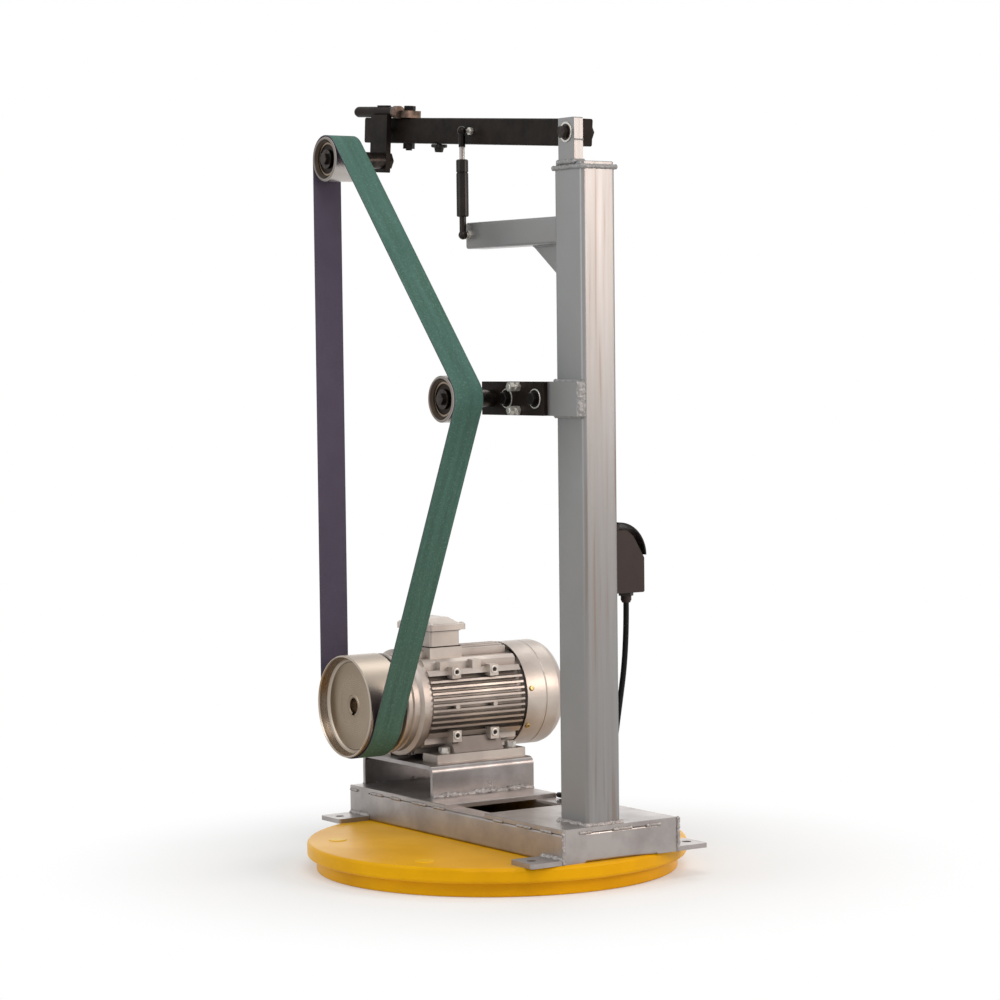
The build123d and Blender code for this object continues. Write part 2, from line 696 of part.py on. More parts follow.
arm_top = ARM_H / 2
strap_top = arm_top + STRAP_H
knuckle_start = BARREL_END + SIDE_GAP
knuckle_end = knuckle_start + KNUCKLE_L
strap = box(STRAP_START, STRAP_END, ARM_FRONT, ARM_BACK, arm_top, strap_top)
strap += box(knuckle_end, STRAP_END, ARM_FRONT - STRAP_OUT, ARM_FRONT, arm_top, strap_top)
strap = chamfer(strap.edges().filter_by(Axis.Z).group_by(Axis.X)[-1], 2)
strap -= rod_z(STRAP_BOLT_R, 0, strap_top + 1, STRAP_BOLT_U, ARM_MID)
knuckle = rod_x(KNUCKLE_R, knuckle_start, knuckle_end, HINGE_Y, HINGE_V)
knuckle += box(knuckle_start, knuckle_end, HINGE_Y, ARM_FRONT, arm_top + 1, strap_top - 1)
knuckle -= rod_x(HINGE_PIN_R, knuckle_start - 1, knuckle_end + 1, HINGE_Y, HINGE_V)
save("hinge_strap", tilted(strap + knuckle))
hinge_pin = rod_x(HINGE_PIN_R, BARREL_START - SIDE_GAP, knuckle_end, HINGE_Y, HINGE_V)
hinge_pin += rod_x(BARREL_R - 1.5, BARREL_START - SIDE_GAP - 2.5, BARREL_START - SIDE_GAP, HINGE_Y, HINGE_V)
save("hinge_pin", tilted(hinge_pin))
strap_bolt = rod_z(STRAP_BOLT_R, -arm_top - 11, strap_top + 2, STRAP_BOLT_U, ARM_MID)
strap_bolt += rod_z(9, strap_top, strap_top + 2, STRAP_BOLT_U, ARM_MID)
strap_head = hex_z(16, strap_top + 2, strap_top + 8, STRAP_BOLT_U, ARM_MID)
strap_bolt += chamfer(strap_head.edges().group_by(Axis.Z)[-1], 0.8)
strap_nut = hex_z(16, -arm_top - 8.5, -arm_top, STRAP_BOLT_U, ARM_MID)
strap_nut -= rod_z(STRAP_BOLT_R, -ARM_H, 0, STRAP_BOLT_U, ARM_MID)
save("strap_bolt", tilted(strap_bolt), tilted(strap_nut))

upper_stud = rod_y(BALL_R - 2, STRUT_Y + 3, ARM_FRONT + ARM_WALL, STUD_U, 0)
upper_stud += hex_y(11, ARM_FRONT - 4, ARM_FRONT, STUD_U, 0)
upper_stud += Pos(STUD_U, STRUT_Y, 0) * Sphere(BALL_R)
save("upper_ball_stud", tilted(upper_stud))

knob_top = -arm_top - SIDE_GAP
knob = turned_z(
    KNOB_U, ARM_MID,
    (0, knob_top),
    (KNOB_R - 1, knob_top),
    (KNOB_R, knob_top - 1),
    (KNOB_R, knob_top - KNOB_RIM + 1),
    (KNOB_R - 1, knob_top - KNOB_RIM),
    (KNOB_HUB_R + 1, knob_top - KNOB_RIM - 1),
    (KNOB_HUB_R, knob_top - KNOB_H + 1),
    (KNOB_HUB_R - 1, knob_top - KNOB_H),
    (0, knob_top - KNOB_H),
)
for flute in range(KNOB_FLUTES):
    turn = 2 * math.pi * flute / KNOB_FLUTES
    flute_u = KNOB_U + (KNOB_R + 2.2) * math.cos(turn)
    flute_y = ARM_MID + (KNOB_R + 2.2) * math.sin(turn)
    knob -= rod_z(3.6, knob_top - KNOB_RIM - 1, knob_top + 1, flute_u, flute_y)
knob += rod_z(KNOB_STUD_R, knob_top, -arm_top + 14, KNOB_U, ARM_MID)
save("arm_knob", tilted(knob))

hanger_back = HANGER_FRONT + HANGER_T
track_screw = rod_y(TRACK_R, hanger_back + TRACK_GAP, ARM_BACK + 18, TRACK_U, TRACK_V)
track_screw = fillet(track_screw.edges().group_by(Axis.Y)[0], 1.5)
track_screw += hex_y(13, ARM_BACK + 10, ARM_BACK + 18, TRACK_U, TRACK_V)
save("tracking_screw", tilted(track_screw))


# Idler hanger: plate, hinge barrel, axle and wheel
hanger = box(HANGER_U - HANGER_W / 2, HANGER_U + HANGER_W / 2, HANGER_FRONT, hanger_back,
             HANGER_BOTTOM, HINGE_V)
hanger = fillet(hanger.edges().filter_by(Axis.Y).group_by(Axis.Z)[0], HANGER_CORNER)
hanger -= rod_x(BARREL_R, BARREL_START, BARREL_END, HINGE_Y, HINGE_V)
hanger -= box(BARREL_START, BARREL_END, HANGER_FRONT - 1, hanger_back + 1, arm_top + 4, HINGE_V + 1)
hanger -= rod_y(AXLE_THREAD_R, HANGER_FRONT - 1, hanger_back + 1, IDLER_U, IDLER_V)
save("hanger_plate", tilted(hanger))
barrel = rod_x(BARREL_R, BARREL_START, BARREL_END, HINGE_Y, HINGE_V)
barrel = chamfer(barrel.edges().group_by(Axis.X)[0], 1.2)
boss_face = Pos(HANGER_U - 5, HINGE_Y) * SlotOverall(BOSS_L, BOSS_W)
barrel += prism_z(boss_face, HINGE_V + BARREL_R - 3, HINGE_V + BARREL_R + 2)
barrel -= rod_x(HINGE_PIN_R + RUN_GAP, BARREL_START - 1, BARREL_END + 1, HINGE_Y, HINGE_V)
save("hinge_barrel", tilted(barrel))
idler_axle = [tilted(piece) for piece in wheel_axle(IDLER_U, IDLER_V, HANGER_FRONT, hanger_back)]
save("idler_axle", *idler_axle)
save("idler_wheel", small_wheel(IDLER_X, IDLER_Z, IDLER_R))
save("idler_bearings", *bearing_pair(IDLER_X, IDLER_Z))


# Gas spring, upright between its two ball studs
lower_stud = rod_y(BALL_R - 1, STRUT_Y + 3, BRACKET_FRONT + BRACKET_WALL + 1, STUD_X, BALL_Z)
lower_stud += hex_y(13, BRACKET_FRONT - 3.5, BRACKET_FRONT, STUD_X, BALL_Z)
lower_stud += Pos(STUD_X, STRUT_Y, BALL_Z) * Sphere(BALL_R)
save("lower_ball_stud", lower_stud)


def ball_socket(z, neck_end):
    """Cup over a ball, open towards the stud, with its neck running to neck_end."""
    cup = Pos(STUD_X, STRUT_Y, z) * Sphere(SOCKET_R)
    cup += rod_z(SOCKET_NECK_R, min(z, neck_end), max(z, neck_end), STUD_X, STRUT_Y)
    cup -= Pos(STUD_X, STRUT_Y, z) * Sphere(BALL_R + BALL_GAP)
    return cup - rod_y(BALL_R, STRUT_Y, STRUT_Y + SOCKET_R + 1, STUD_X, z)


tube_low = BALL_Z + STRUT_TUBE_LOW
tube_high = BALL_Z + STRUT_TUBE_HIGH
groove_z = BALL_Z + STRUT_GROOVE
bore_r = STRUT_TUBE_R - STRUT_TUBE_WALL
tube = turned_z(
    STUD_X, STRUT_Y,
    (0, tube_low),
    (STRUT_TUBE_R - 1.5, tube_low),
    (STRUT_TUBE_R, tube_low + 1.5),
    (STRUT_TUBE_R, groove_z - 1.2),
    (STRUT_TUBE_R - 1, groove_z - 0.4),
    (STRUT_TUBE_R - 1, groove_z + 0.4),
    (STRUT_TUBE_R, groove_z + 1.2),
    (STRUT_TUBE_R, tube_high - 1.5),
    (STRUT_TUBE_R - 1.5, tube_high),
    (STRUT_ROD_R + RUN_GAP, tube_high),
    (STRUT_ROD_R + RUN_GAP, groove_z - 6),
    (bore_r, groove_z - 6),
    (bore_r, tube_low + 4),
    (0, tube_low + 4),
)
save("strut_cylinder", tube + ball_socket(BALL_Z, tube_low))
piston_top = groove_z - 20
strut_rod = rod_z(STRUT_ROD_R, piston_top, STUD_Z - 22, STUD_X, STRUT_Y)
strut_rod += rod_z(bore_r - 0.3, piston_top - 8, piston_top, STUD_X, STRUT_Y)
save("strut_rod", strut_rod + ball_socket(STUD_Z, STUD_Z - 25))


# Motor: finned frame with alternate foot pads, feet, end shields, cowl, terminal box
def at_motor(sketch):
    return Pos(MOTOR_X, MOTOR_Z) * sketch


fins = Sketch()
for step in range(-SIDE_FINS, SIDE_FINS + 1):
    fins += at_motor(Pos(0, step * FIN_PITCH) * Rectangle(2 * FIN_R, FIN_T))
for step in range(-TOP_FINS, TOP_FINS + 1):
    fins += at_motor(Pos(step * FIN_PITCH, 0) * Rectangle(FIN_T, 2 * FIN_R))
ledges = Sketch()
for side_x in (-1, 1):
    for side_z in (-1, 1):
        low_ledge = Pos(side_x * (FRAME_CORE_R - 13), side_z * (FRAME_CORE_R - 24))
        high_ledge = Pos(side_x * (FRAME_CORE_R - 29), side_z * (FRAME_CORE_R - 13))
        ledges += at_motor(low_ledge * Rectangle(28, 8))
        ledges += at_motor(high_ledge * Rectangle(24, 18))
frame_face = at_motor(Circle(FRAME_CORE_R)) + (fins + ledges & at_motor(Circle(FIN_R)))
frame_face -= at_motor(Circle(FRAME_BORE_R))
fin_end = FRAME_BACK - FIN_STOP
frame = prism_y(frame_face, FRAME_FRONT + FRAME_BAND, fin_end)
band_face = at_motor(Circle(FRAME_CORE_R + 8) - Circle(FRAME_BORE_R))
frame += prism_y(band_face, FRAME_FRONT, FRAME_FRONT + FRAME_BAND)
frame += prism_y(at_motor(Circle(FRAME_CORE_R) - Circle(FRAME_BORE_R)), fin_end, FRAME_BACK)
for side_x in (-1, 1):
    for side_z in (-1, 1):
        for pad_y in PAD_HOLES_Y:
            pad_x = MOTOR_X + side_x * (FRAME_CORE_R + 1)
            pad_z = MOTOR_Z + side_z * (FRAME_CORE_R - PAD_DROP)
            frame += box(pad_x - 8, pad_x + 8, pad_y - 8, pad_y + 8, pad_z - 10, pad_z + 8)
            frame -= rod_x(3.5, pad_x - 10, pad_x + 10, pad_y, pad_z)
    eye_x = MOTOR_X + side_x * (FRAME_CORE_R + FIN_DEPTH / 2)
    for eye_y in PAD_HOLES_Y:
        frame += rod_x(EYE_R, eye_x - FIN_DEPTH / 2, eye_x + FIN_DEPTH / 2, eye_y, MOTOR_Z - EYE_DROP)
    for post_y in POSTS_Y:
        post_x = MOTOR_X + side_x * (FRAME_CORE_R - 12)
        post_top = MOTOR_Z + FRAME_CORE_R - 7
        frame += box(post_x - 7, post_x + 7, post_y - 8, post_y + 8, post_top - 16, post_top)
frame += box(MOTOR_X - BOX_HALF_X - 2, MOTOR_X + BOX_HALF_X + 2, BOX_Y0 - 2, BOX_Y1 + 2,
             MOTOR_Z + FRAME_CORE_R - BOX_PAD_H, BOX_LOW)
frame -= box(MOTOR_X - BOX_HALF_X - 2, MOTOR_X + BOX_HALF_X + 2, BOX_Y0 - 2, BOX_Y1 + 2, BOX_LOW, BOX_TOP)
frame -= rod_y(FRAME_BORE_R, FRAME_FRONT - 1, FRAME_BACK + 1, MOTOR_X, MOTOR_Z)


def motor_foot(side):
    """Foot pad and sloping web; side is +1 for the foot nearer the column."""
    inner = MOTOR_X + side * FOOT_IN
    outer = MOTOR_X + side * FOOT_OUT
    pad = box(min(inner, outer), max(inner, outer), FOOT_FRONT, FOOT_BACK, RISER_TOP, RISER_TOP + FOOT_T)
    web_top = MOTOR_Z - 0.74 * FRAME_CORE_R
    web_face = polygon(
        (inner, RISER_TOP + FOOT_T),
        (outer - side * 7, RISER_TOP + FOOT_T),
        (MOTOR_X + side * 0.98 * FRAME_CORE_R, web_top),
        (MOTOR_X + side * 0.63 * FRAME_CORE_R, web_top),
    )
    foot = pad + prism_y(web_face, FOOT_FRONT + FOOT_WEB_END, FOOT_BACK - FOOT_WEB_END)
    for hole_y in FOOT_HOLES_Y:
        foot -= rod_z(FOOT_HOLE_R, RISER_TOP - 1, RISER_TOP + FOOT_T + 1, MOTOR_X + side * FOOT_HOLE_X, hole_y)
    return foot


feet = [motor_foot(-1), motor_foot(1)]
for foot in feet:
    frame -= foot
save("motor_frame", frame)
save("motor_feet", *feet)
foot_bolts = []
foot_top = RISER_TOP + FOOT_T
foot_under = RISER_TOP - RISER_T
for hole_x, hole_y in foot_holes:
    head_low = foot_top + FOOT_WASHER_T
    bolt = rod_z(FOOT_HOLE_R, foot_under - FOOT_NUT_T - 3, head_low, hole_x, hole_y)
    bolt += rod_z(FOOT_WASHER_R, foot_top, head_low, hole_x, hole_y)
    bolt_head = hex_z(FOOT_BOLT_AF, head_low, head_low + FOOT_BOLT_HEAD, hole_x, hole_y)
    bolt += chamfer(bolt_head.edges().group_by(Axis.Z)[-1], 0.8)
    bolt += hex_z(FOOT_BOLT_AF, foot_under - FOOT_NUT_T, foot_under, hole_x, hole_y)
    foot_bolts.append(bolt)
save("motor_foot_bolts", *foot_bolts)

front_seal_r = BEARING_SEAT_R + 2
front_shield = turned_y(
    MOTOR_X, MOTOR_Z,
    (MOTOR_BEARING_R, FRONT_BEARING_Y + MOTOR_BEARING_W),
    (40, FRONT_BEARING_Y + MOTOR_BEARING_W + 4),
    (FRAME_BORE_R - 6, FRAME_FRONT),
    (FRAME_CORE_R + 11, FRAME_FRONT),
    (FRAME_CORE_R + 11, FRAME_FRONT - 8),
    (FRAME_CORE_R + 4, FRAME_FRONT - 12),
    (FRAME_CORE_R + 4, FRAME_FRONT - 22),
    (FRAME_CORE_R + 1, FRAME_FRONT - 24),
    (FRAME_CORE_R + 1, FRAME_FRONT - 28),
    (FRAME_CORE_R + 6, FRAME_FRONT - 31),
    (FRAME_CORE_R + 6, SHIELD_FRONT + 2),
    (FRAME_CORE_R + 4, SHIELD_FRONT),
    (FRAME_CORE_R - 11, SHIELD_FRONT),
    (FRAME_CORE_R - 13, SHIELD_FRONT + 5),
    (36, SHIELD_FRONT + 6),
    (34, SHIELD_FRONT + 1),
    (front_seal_r, SHIELD_FRONT + 1),
    (front_seal_r, FRONT_BEARING_Y),
    (MOTOR_BEARING_R, FRONT_BEARING_Y),
)
save("front_end_shield", front_shield)
shield_r = FRAME_CORE_R + SHIELD_OVER
rear_shield = turned_y(
    MOTOR_X, MOTOR_Z,
    (MOTOR_BEARING_R, REAR_BEARING_Y),
    (40, REAR_BEARING_Y - 2),
    (FRAME_BORE_R - 6, FRAME_BACK),
    (shield_r, FRAME_BACK),
    (shield_r, FRAME_BACK + 8),
    (FRAME_CORE_R - 23, FRAME_BACK + 13),
    (34, REAR_BEARING_Y + MOTOR_BEARING_W + 3),
    (front_seal_r, REAR_BEARING_Y + MOTOR_BEARING_W + 3),
    (front_seal_r, REAR_BEARING_Y + MOTOR_BEARING_W),
    (MOTOR_BEARING_R, REAR_BEARING_Y + MOTOR_BEARING_W),
)
save("rear_end_shield", rear_shield)
motor_bearings = []
for bearing_y in (FRONT_BEARING_Y, REAR_BEARING_Y):
    bore = BEARING_SEAT_R + RUN_GAP
    motor_bearings.append(ball_bearing(MOTOR_BEARING_R, bore, MOTOR_BEARING_W, bearing_y, MOTOR_X, MOTOR_Z))
save("motor_bearings", *motor_bearings)

cowl = turned_y(
    MOTOR_X, MOTOR_Z,
    (COWL_R, COWL_FRONT),
    (COWL_R, COWL_GROOVE_Y - 1.5),
    (COWL_R - 0.7, COWL_GROOVE_Y),
    (COWL_R, COWL_GROOVE_Y + 1.5),
    (COWL_R, COWL_BACK - 16),
    (COWL_R - 2, COWL_BACK - 9),
    (COWL_R - 6, COWL_BACK - 3.5),
    (COWL_R - 13, COWL_BACK),
    (0, COWL_BACK),
    (0, COWL_BACK - COWL_WALL),
    (COWL_R - 13.5, COWL_BACK - COWL_WALL),
    (COWL_R - 7, COWL_BACK - 5),
    (COWL_R - COWL_WALL - 2, COWL_BACK - 10),
    (COWL_R - COWL_WALL, COWL_BACK - 16.5),
    (COWL_R - COWL_WALL, COWL_FRONT),
)
grille_half = COWL_R - 20
ribs = box(MOTOR_X - 3, MOTOR_X + 3, COWL_BACK - 5, COWL_BACK + 2, MOTOR_Z - COWL_R, MOTOR_Z + COWL_R)
for row in range(-6, 7):
    half = math.sqrt(grille_half ** 2 - (row * GRILLE_PITCH) ** 2)
    slot_face = at_motor(Pos(0, row * GRILLE_PITCH) * Rectangle(2 * half, 4.5))
    cowl -= prism_y(slot_face, COWL_BACK - 4, COWL_BACK + 1) - ribs
seat_ring = Circle(COWL_R - COWL_WALL) - Circle(shield_r)
seat_tabs = Sketch()
for turn in (45, 135, 225, 315):
    seat_tabs += Rot(0, 0, turn) * Pos(shield_r + 6, 0) * Rectangle(16, 16)
cowl += prism_y(at_motor(seat_ring & seat_tabs), COWL_FRONT, COWL_FRONT + 5)
save("fan_cowl", cowl)

terminal = box(MOTOR_X - BOX_HALF_X, MOTOR_X + BOX_HALF_X, BOX_Y0, BOX_Y1, BOX_LOW, BOX_TOP)
terminal = fillet(terminal.edges().filter_by(Axis.Z), 4)
terminal -= box(MOTOR_X - BOX_HALF_X + BOX_WALL, MOTOR_X + BOX_HALF_X - BOX_WALL,
                BOX_Y0 + BOX_WALL, BOX_Y1 - BOX_WALL, BOX_LOW + BOX_WALL, BOX_TOP + 1)
save("terminal_box", terminal)
lid_y0 = BOX_Y0 - LID_OVER
lid_y1 = BOX_Y1 + LID_OVER
lid_top = BOX_TOP + LID_T
lid = box(MOTOR_X - LID_HALF_X, MOTOR_X + LID_HALF_X, lid_y0, lid_y1, BOX_TOP, lid_top)
lid = fillet(lid.edges().filter_by(Axis.Z), 6)
lid = chamfer(lid.edges().group_by(Axis.Z)[-1], 1.2)
panel_base = Plane(origin=(MOTOR_X, (lid_y0 + lid_y1) / 2, lid_top))
panel_top = Plane(origin=(MOTOR_X - 6, (lid_y0 + lid_y1) / 2, lid_top + LID_RISE))
panel_x = 2 * LID_HALF_X - 22
panel_y = lid_y1 - lid_y0 - 16
lid += loft([panel_base * Rectangle(panel_x, panel_y), panel_top * Rectangle(panel_x - 26, panel_y - 16)])
save("terminal_lid", lid)
stator_front = FRAME_FRONT + STATOR_IN
stator = turned_y(
    MOTOR_X, MOTOR_Z,
    (STATOR_BORE_R, stator_front),
    (FRAME_BORE_R, stator_front),
    (FRAME_BORE_R, FRAME_BACK - STATOR_IN),
    (STATOR_BORE_R, FRAME_BACK - STATOR_IN),
)
winding = turned_y(
    MOTOR_X, MOTOR_Z,
    (STATOR_BORE_R + 3, stator_front - WINDING_L),
    (FRAME_BORE_R - 6, stator_front - WINDING_L),
    (FRAME_BORE_R - 4, stator_front),
    (STATOR_BORE_R + 2, stator_front),
)
stator_mid = (FRAME_FRONT + FRAME_BACK) / 2
winding_back = Pos(0, stator_mid, 0) * mirror(Pos(0, -stator_mid, 0) * winding, Plane.XZ)
save("stator", stator, winding, winding_back)


# Turning parts of the motor: shaft, key, rotor, fan and drive wheel
web_y = DRIVE_FRONT + DRIVE_WEB
shaft_end = web_y + SHAFT_SET_BACK
shoulder_y = SHIELD_FRONT - 4
shaft = turned_y(
    MOTOR_X, MOTOR_Z,
    (0, shaft_end),
    (SHAFT_R - 1, shaft_end),
    (SHAFT_R, shaft_end + 1),
    (SHAFT_R, shoulder_y),
    (BEARING_SEAT_R, shoulder_y),
    (BEARING_SEAT_R, FRONT_BEARING_Y + MOTOR_BEARING_W + END_GAP),
    (BEARING_SEAT_R + 3, FRONT_BEARING_Y + MOTOR_BEARING_W + END_GAP),
    (BEARING_SEAT_R + 3, REAR_BEARING_Y - END_GAP),
    (BEARING_SEAT_R, REAR_BEARING_Y - END_GAP),
    (BEARING_SEAT_R, REAR_BEARING_Y + MOTOR_BEARING_W + 5),
    (SHAFT_R - 2, REAR_BEARING_Y + MOTOR_BEARING_W + 5),
    (SHAFT_R - 2, COWL_BACK - 22),
    (0, COWL_BACK - 22),
)
key_y0 = shaft_end + 3
key_bottom = MOTOR_Z - SHAFT_R + KEY_SINK - KEY_H
key = box(MOTOR_X - KEY_W / 2, MOTOR_X + KEY_W / 2, key_y0, key_y0 + KEY_L, key_bottom, key_bottom + KEY_H)
save("motor_shaft", shaft - key)
save("shaft_key", key)
rotor_core = turned_y(
    MOTOR_X, MOTOR_Z,
    (BEARING_SEAT_R + 3, FRAME_FRONT + ROTOR_IN),
    (STATOR_BORE_R - AIR_GAP, FRAME_FRONT + ROTOR_IN),
    (STATOR_BORE_R - AIR_GAP, FRAME_BACK - ROTOR_IN),
    (BEARING_SEAT_R + 3, FRAME_BACK - ROTOR_IN),
)
save("rotor_core", rotor_core)
fan_y0 = REAR_BEARING_Y + MOTOR_BEARING_W + 9
fan_y1 = COWL_BACK - 14
fan = turned_y(
    MOTOR_X, MOTOR_Z,
    (SHAFT_R - 2, fan_y0),
    (FAN_R, fan_y0 + 4),
    (FAN_R, fan_y0 + 7),
    (FAN_HUB_R + 2, fan_y0 + 5),
    (FAN_HUB_R, COWL_BACK - 24),
    (SHAFT_R - 2, COWL_BACK - 24),
)
blade = box(-FAN_BLADE_T / 2, FAN_BLADE_T / 2, fan_y0 + 4, fan_y1, FAN_HUB_R - 3, FAN_R - 2)
for turn in range(0, 360, 60):
    fan += Pos(MOTOR_X, 0, MOTOR_Z) * Rot(0, turn, 0) * blade
save("cooling_fan", fan)

rim_r = DRIVE_R - DRIVE_RIM
web_back = web_y + DRIVE_WEB_T
wheel = turned_y(
    MOTOR_X, MOTOR_Z,
    (DRIVE_R - 1.5, DRIVE_FRONT),
    (DRIVE_R, DRIVE_FRONT + 1.5),
    (DRIVE_R, DRIVE_BACK - 1.5),
    (DRIVE_R - 1.5, DRIVE_BACK),
    (rim_r, DRIVE_BACK),
    (rim_r - 2, web_back + 3),
    (rim_r - 6, web_back),
    (34, web_back),
    (30, DRIVE_BACK + 2),
    (SHAFT_R, DRIVE_BACK + 2),
    (SHAFT_R, web_y + 1.5),
    (SHAFT_R + 1.5, web_y),
    (SHAFT_R + 4, web_y),
    (SHAFT_R + 6, web_y + 1),
    (DRIVE_R / 2, web_y + 1.5),
    (rim_r - 7, web_y),
    (rim_r - 5.5, web_y + 1.2),
    (rim_r - 4, web_y + 1.2),
    (rim_r - 2, web_y - 0.5),
    (rim_r - 0.5, web_y - 2.5),
    (rim_r, web_y - 5),
    (rim_r + 1.5, DRIVE_FRONT + 2),
    (rim_r + 2.5, DRIVE_FRONT),
)
keyway = box(MOTOR_X - KEY_W / 2, MOTOR_X + KEY_W / 2, DRIVE_FRONT, DRIVE_BACK + 3, key_bottom, MOTOR_Z)
save("drive_wheel", wheel - keyway)


# Sanding belt: the closed path round the three wheels
def belt_outline(extra):
    rims = [
        Pos(MOTOR_X, MOTOR_Z) * Edge.make_circle(DRIVE_R + extra),
        Pos(IDLER_X, IDLER_Z) * Edge.make_circle(IDLER_R + extra),
        Pos(CONTACT_X, CONTACT_Z) * Edge.make_circle(CONTACT_R + extra),
    ]
    return make_hull(rims)


belt_face = belt_outline(BELT_GAP + BELT_T) - belt_outline(BELT_GAP)
save("sanding_belt", prism_y(belt_face, BELT_Y - BELT_W / 2, BELT_Y + BELT_W / 2))


# Switch: moulded box, flip cover and two buttons
switch_out = COLUMN_BACK + SWITCH_DEPTH
slope_low = SWITCH_HIGH - SLOPE_TOP - SLOPE_Z


def switch_profile(inset):
    return polygon(
        (COLUMN_BACK + inset, SWITCH_LOW + inset),
        (switch_out - inset, SWITCH_LOW + inset),
        (switch_out - inset, slope_low - inset / 3),
        (switch_out - SLOPE_Y - inset / 2, SWITCH_HIGH - SLOPE_TOP - inset / 2),
        (switch_out - SLOPE_Y - 12, SWITCH_HIGH - inset),
        (COLUMN_BACK + inset, SWITCH_HIGH - inset),
    )


switch_x0 = COLUMN_X - SWITCH_W / 2
switch_x1 = COLUMN_X + SWITCH_W / 2
switch = prism_x(switch_profile(0), switch_x0, switch_x1)
switch = fillet(switch.edges().filter_by(Axis.X).group_by(Axis.Y)[-1], 2.5)
switch = chamfer(switch.edges().group_by(Axis.X)[0] + switch.edges().group_by(Axis.X)[-1], 1.2)
switch -= prism_x(switch_profile(SWITCH_WALL), switch_x0 + SWITCH_WALL, switch_x1 - SWITCH_WALL)
start_z = SWITCH_LOW + 24
stop_y = switch_out - SLOPE_Y / 2
stop_z = slope_low + SLOPE_Z / 2
stop_lean = math.degrees(math.atan2(SLOPE_Z, SLOPE_Y))


def at_start(part):
    return Pos(COLUMN_X, switch_out, start_z) * Rot(-90, 0, 0) * part


def at_stop(part):
    return Pos(COLUMN_X, stop_y, stop_z) * Rot(-stop_lean, 0, 0) * part


button_hole = Cylinder(BUTTON_R + BUTTON_GAP, 26)
bezel = Pos(0, 0, BEZEL_T / 2) * Cylinder(BUTTON_R + BEZEL_W, BEZEL_T)
button = Pos(0, 0, BUTTON_PROUD - BUTTON_L / 2) * Cylinder(BUTTON_R, BUTTON_L)
button = chamfer(button.edges().group_by(Axis.Z)[-1], 0.8)
switch += at_start(bezel)
switch += at_stop(bezel)
switch -= at_start(button_hole)
switch -= at_stop(button_hole)
ears = (switch_x0 + 5, switch_x1 - 5)
ear_face = Pos(FLAP_HINGE_Y, FLAP_HINGE_Z) * Circle(FLAP_EYE_R)
ear_face += Pos(FLAP_HINGE_Y, FLAP_HINGE_Z - 4) * Rectangle(2 * FLAP_EYE_R, 8)
for ear_x in ears:
    switch += prism_x(ear_face, ear_x - 2, ear_x + 2)
switch += rod_x(FLAP_PIN_R, ears[0], ears[1], FLAP_HINGE_Y, FLAP_HINGE_Z)
save("switch_box", switch)
save("start_button", at_start(button))
save("stop_button", at_stop(button))

flap_path = ThreePointArc(
    (FLAP_HINGE_Y, FLAP_HINGE_Z + FLAP_RISE),
    (FLAP_HINGE_Y + 0.63 * FLAP_REACH, FLAP_HINGE_Z - 0.16 * FLAP_DROP),
    (FLAP_HINGE_Y + FLAP_REACH, FLAP_HINGE_Z - FLAP_DROP),
)
flap = prism_x(trace(flap_path, FLAP_T), COLUMN_X - FLAP_W / 2, COLUMN_X + FLAP_W / 2)
eye_face = Pos(FLAP_HINGE_Y, FLAP_HINGE_Z) * Circle(FLAP_EYE_R)
flap += prism_x(eye_face, ears[0] + 2.5, ears[1] - 2.5)
for ear_x in ears:
    flap -= rod_x(FLAP_EYE_R + 0.4, ear_x - 2.5, ear_x + 2.5, FLAP_HINGE_Y, FLAP_HINGE_Z)
flap -= rod_x(FLAP_PIN_R + RUN_GAP, switch_x0 - 1, switch_x1 + 1, FLAP_HINGE_Y, FLAP_HINGE_Z)
save("switch_flap", flap)


# Lead from the switch round the back of the base to the motor, with a gland at each end
def gland():
    """Cable gland standing on its hexagon, pointing along +Z."""
    collar = extrude(hexagon(GLAND_AF), amount=6)
    return collar + turned_z(0, 0, (0, 6), (GLAND_R, 6), (GLAND_R, GLAND_L - 4), (6, GLAND_L), (0, GLAND_L))


lead_y = COLUMN_BACK + LEAD_OUT
gland_z = BOX_TOP - MOTOR_GLAND_DROP
gland_x = MOTOR_X - BOX_HALF_X
switch_gland = Pos(COLUMN_X, lead_y, SWITCH_LOW) * Rot(180, 0, 0) * gland()
motor_gland = Pos(gland_x, MOTOR_GLAND_Y, gland_z) * Rot(0, -90, 0) * gland()
save("lead_glands", switch_gland, motor_gland)
lead_points = [
    (COLUMN_X, lead_y, SWITCH_LOW - GLAND_L),
    (COLUMN_X, lead_y, SWITCH_LOW - LEAD_DROPS[0]),
    (COLUMN_X, lead_y - 17, SWITCH_LOW - LEAD_DROPS[1]),
    (COLUMN_X - 6, lead_y - 27, SWITCH_LOW - LEAD_DROPS[2]),
    (COLUMN_X - 26, lead_y - 18, DECK_TOP + 18),
    (COLUMN_X - 87, half_w - 52, DECK_TOP + 5),
    (COLUMN_DECK_START - 5, half_w - 22, DECK_TOP + 5),
    (MOTOR_DECK_END + 22, half_w - 20, RAIL_TOP + 9),
    (MOTOR_DECK_END + 9, half_w + 18, RAIL_TOP + 1),
    (MOTOR_DECK_END - 18, half_w + 23, FLOOR + 8),
    (MOTOR_X + 91, half_w + 23, FLOOR + 5),
    (MOTOR_X + 6, half_w + 22, FLOOR + 9),
    (riser_left + 18, RISER_BACK + 20, RAIL_TOP + 6),
    (riser_left - 28, RISER_BACK - 3, RISER_TOP + 30),
    (riser_left - 44, MOTOR_GLAND_Y + 47, MOTOR_Z + 25),
    (gland_x - 75, MOTOR_GLAND_Y, gland_z),
    (gland_x - GLAND_L, MOTOR_GLAND_Y, gland_z),
]


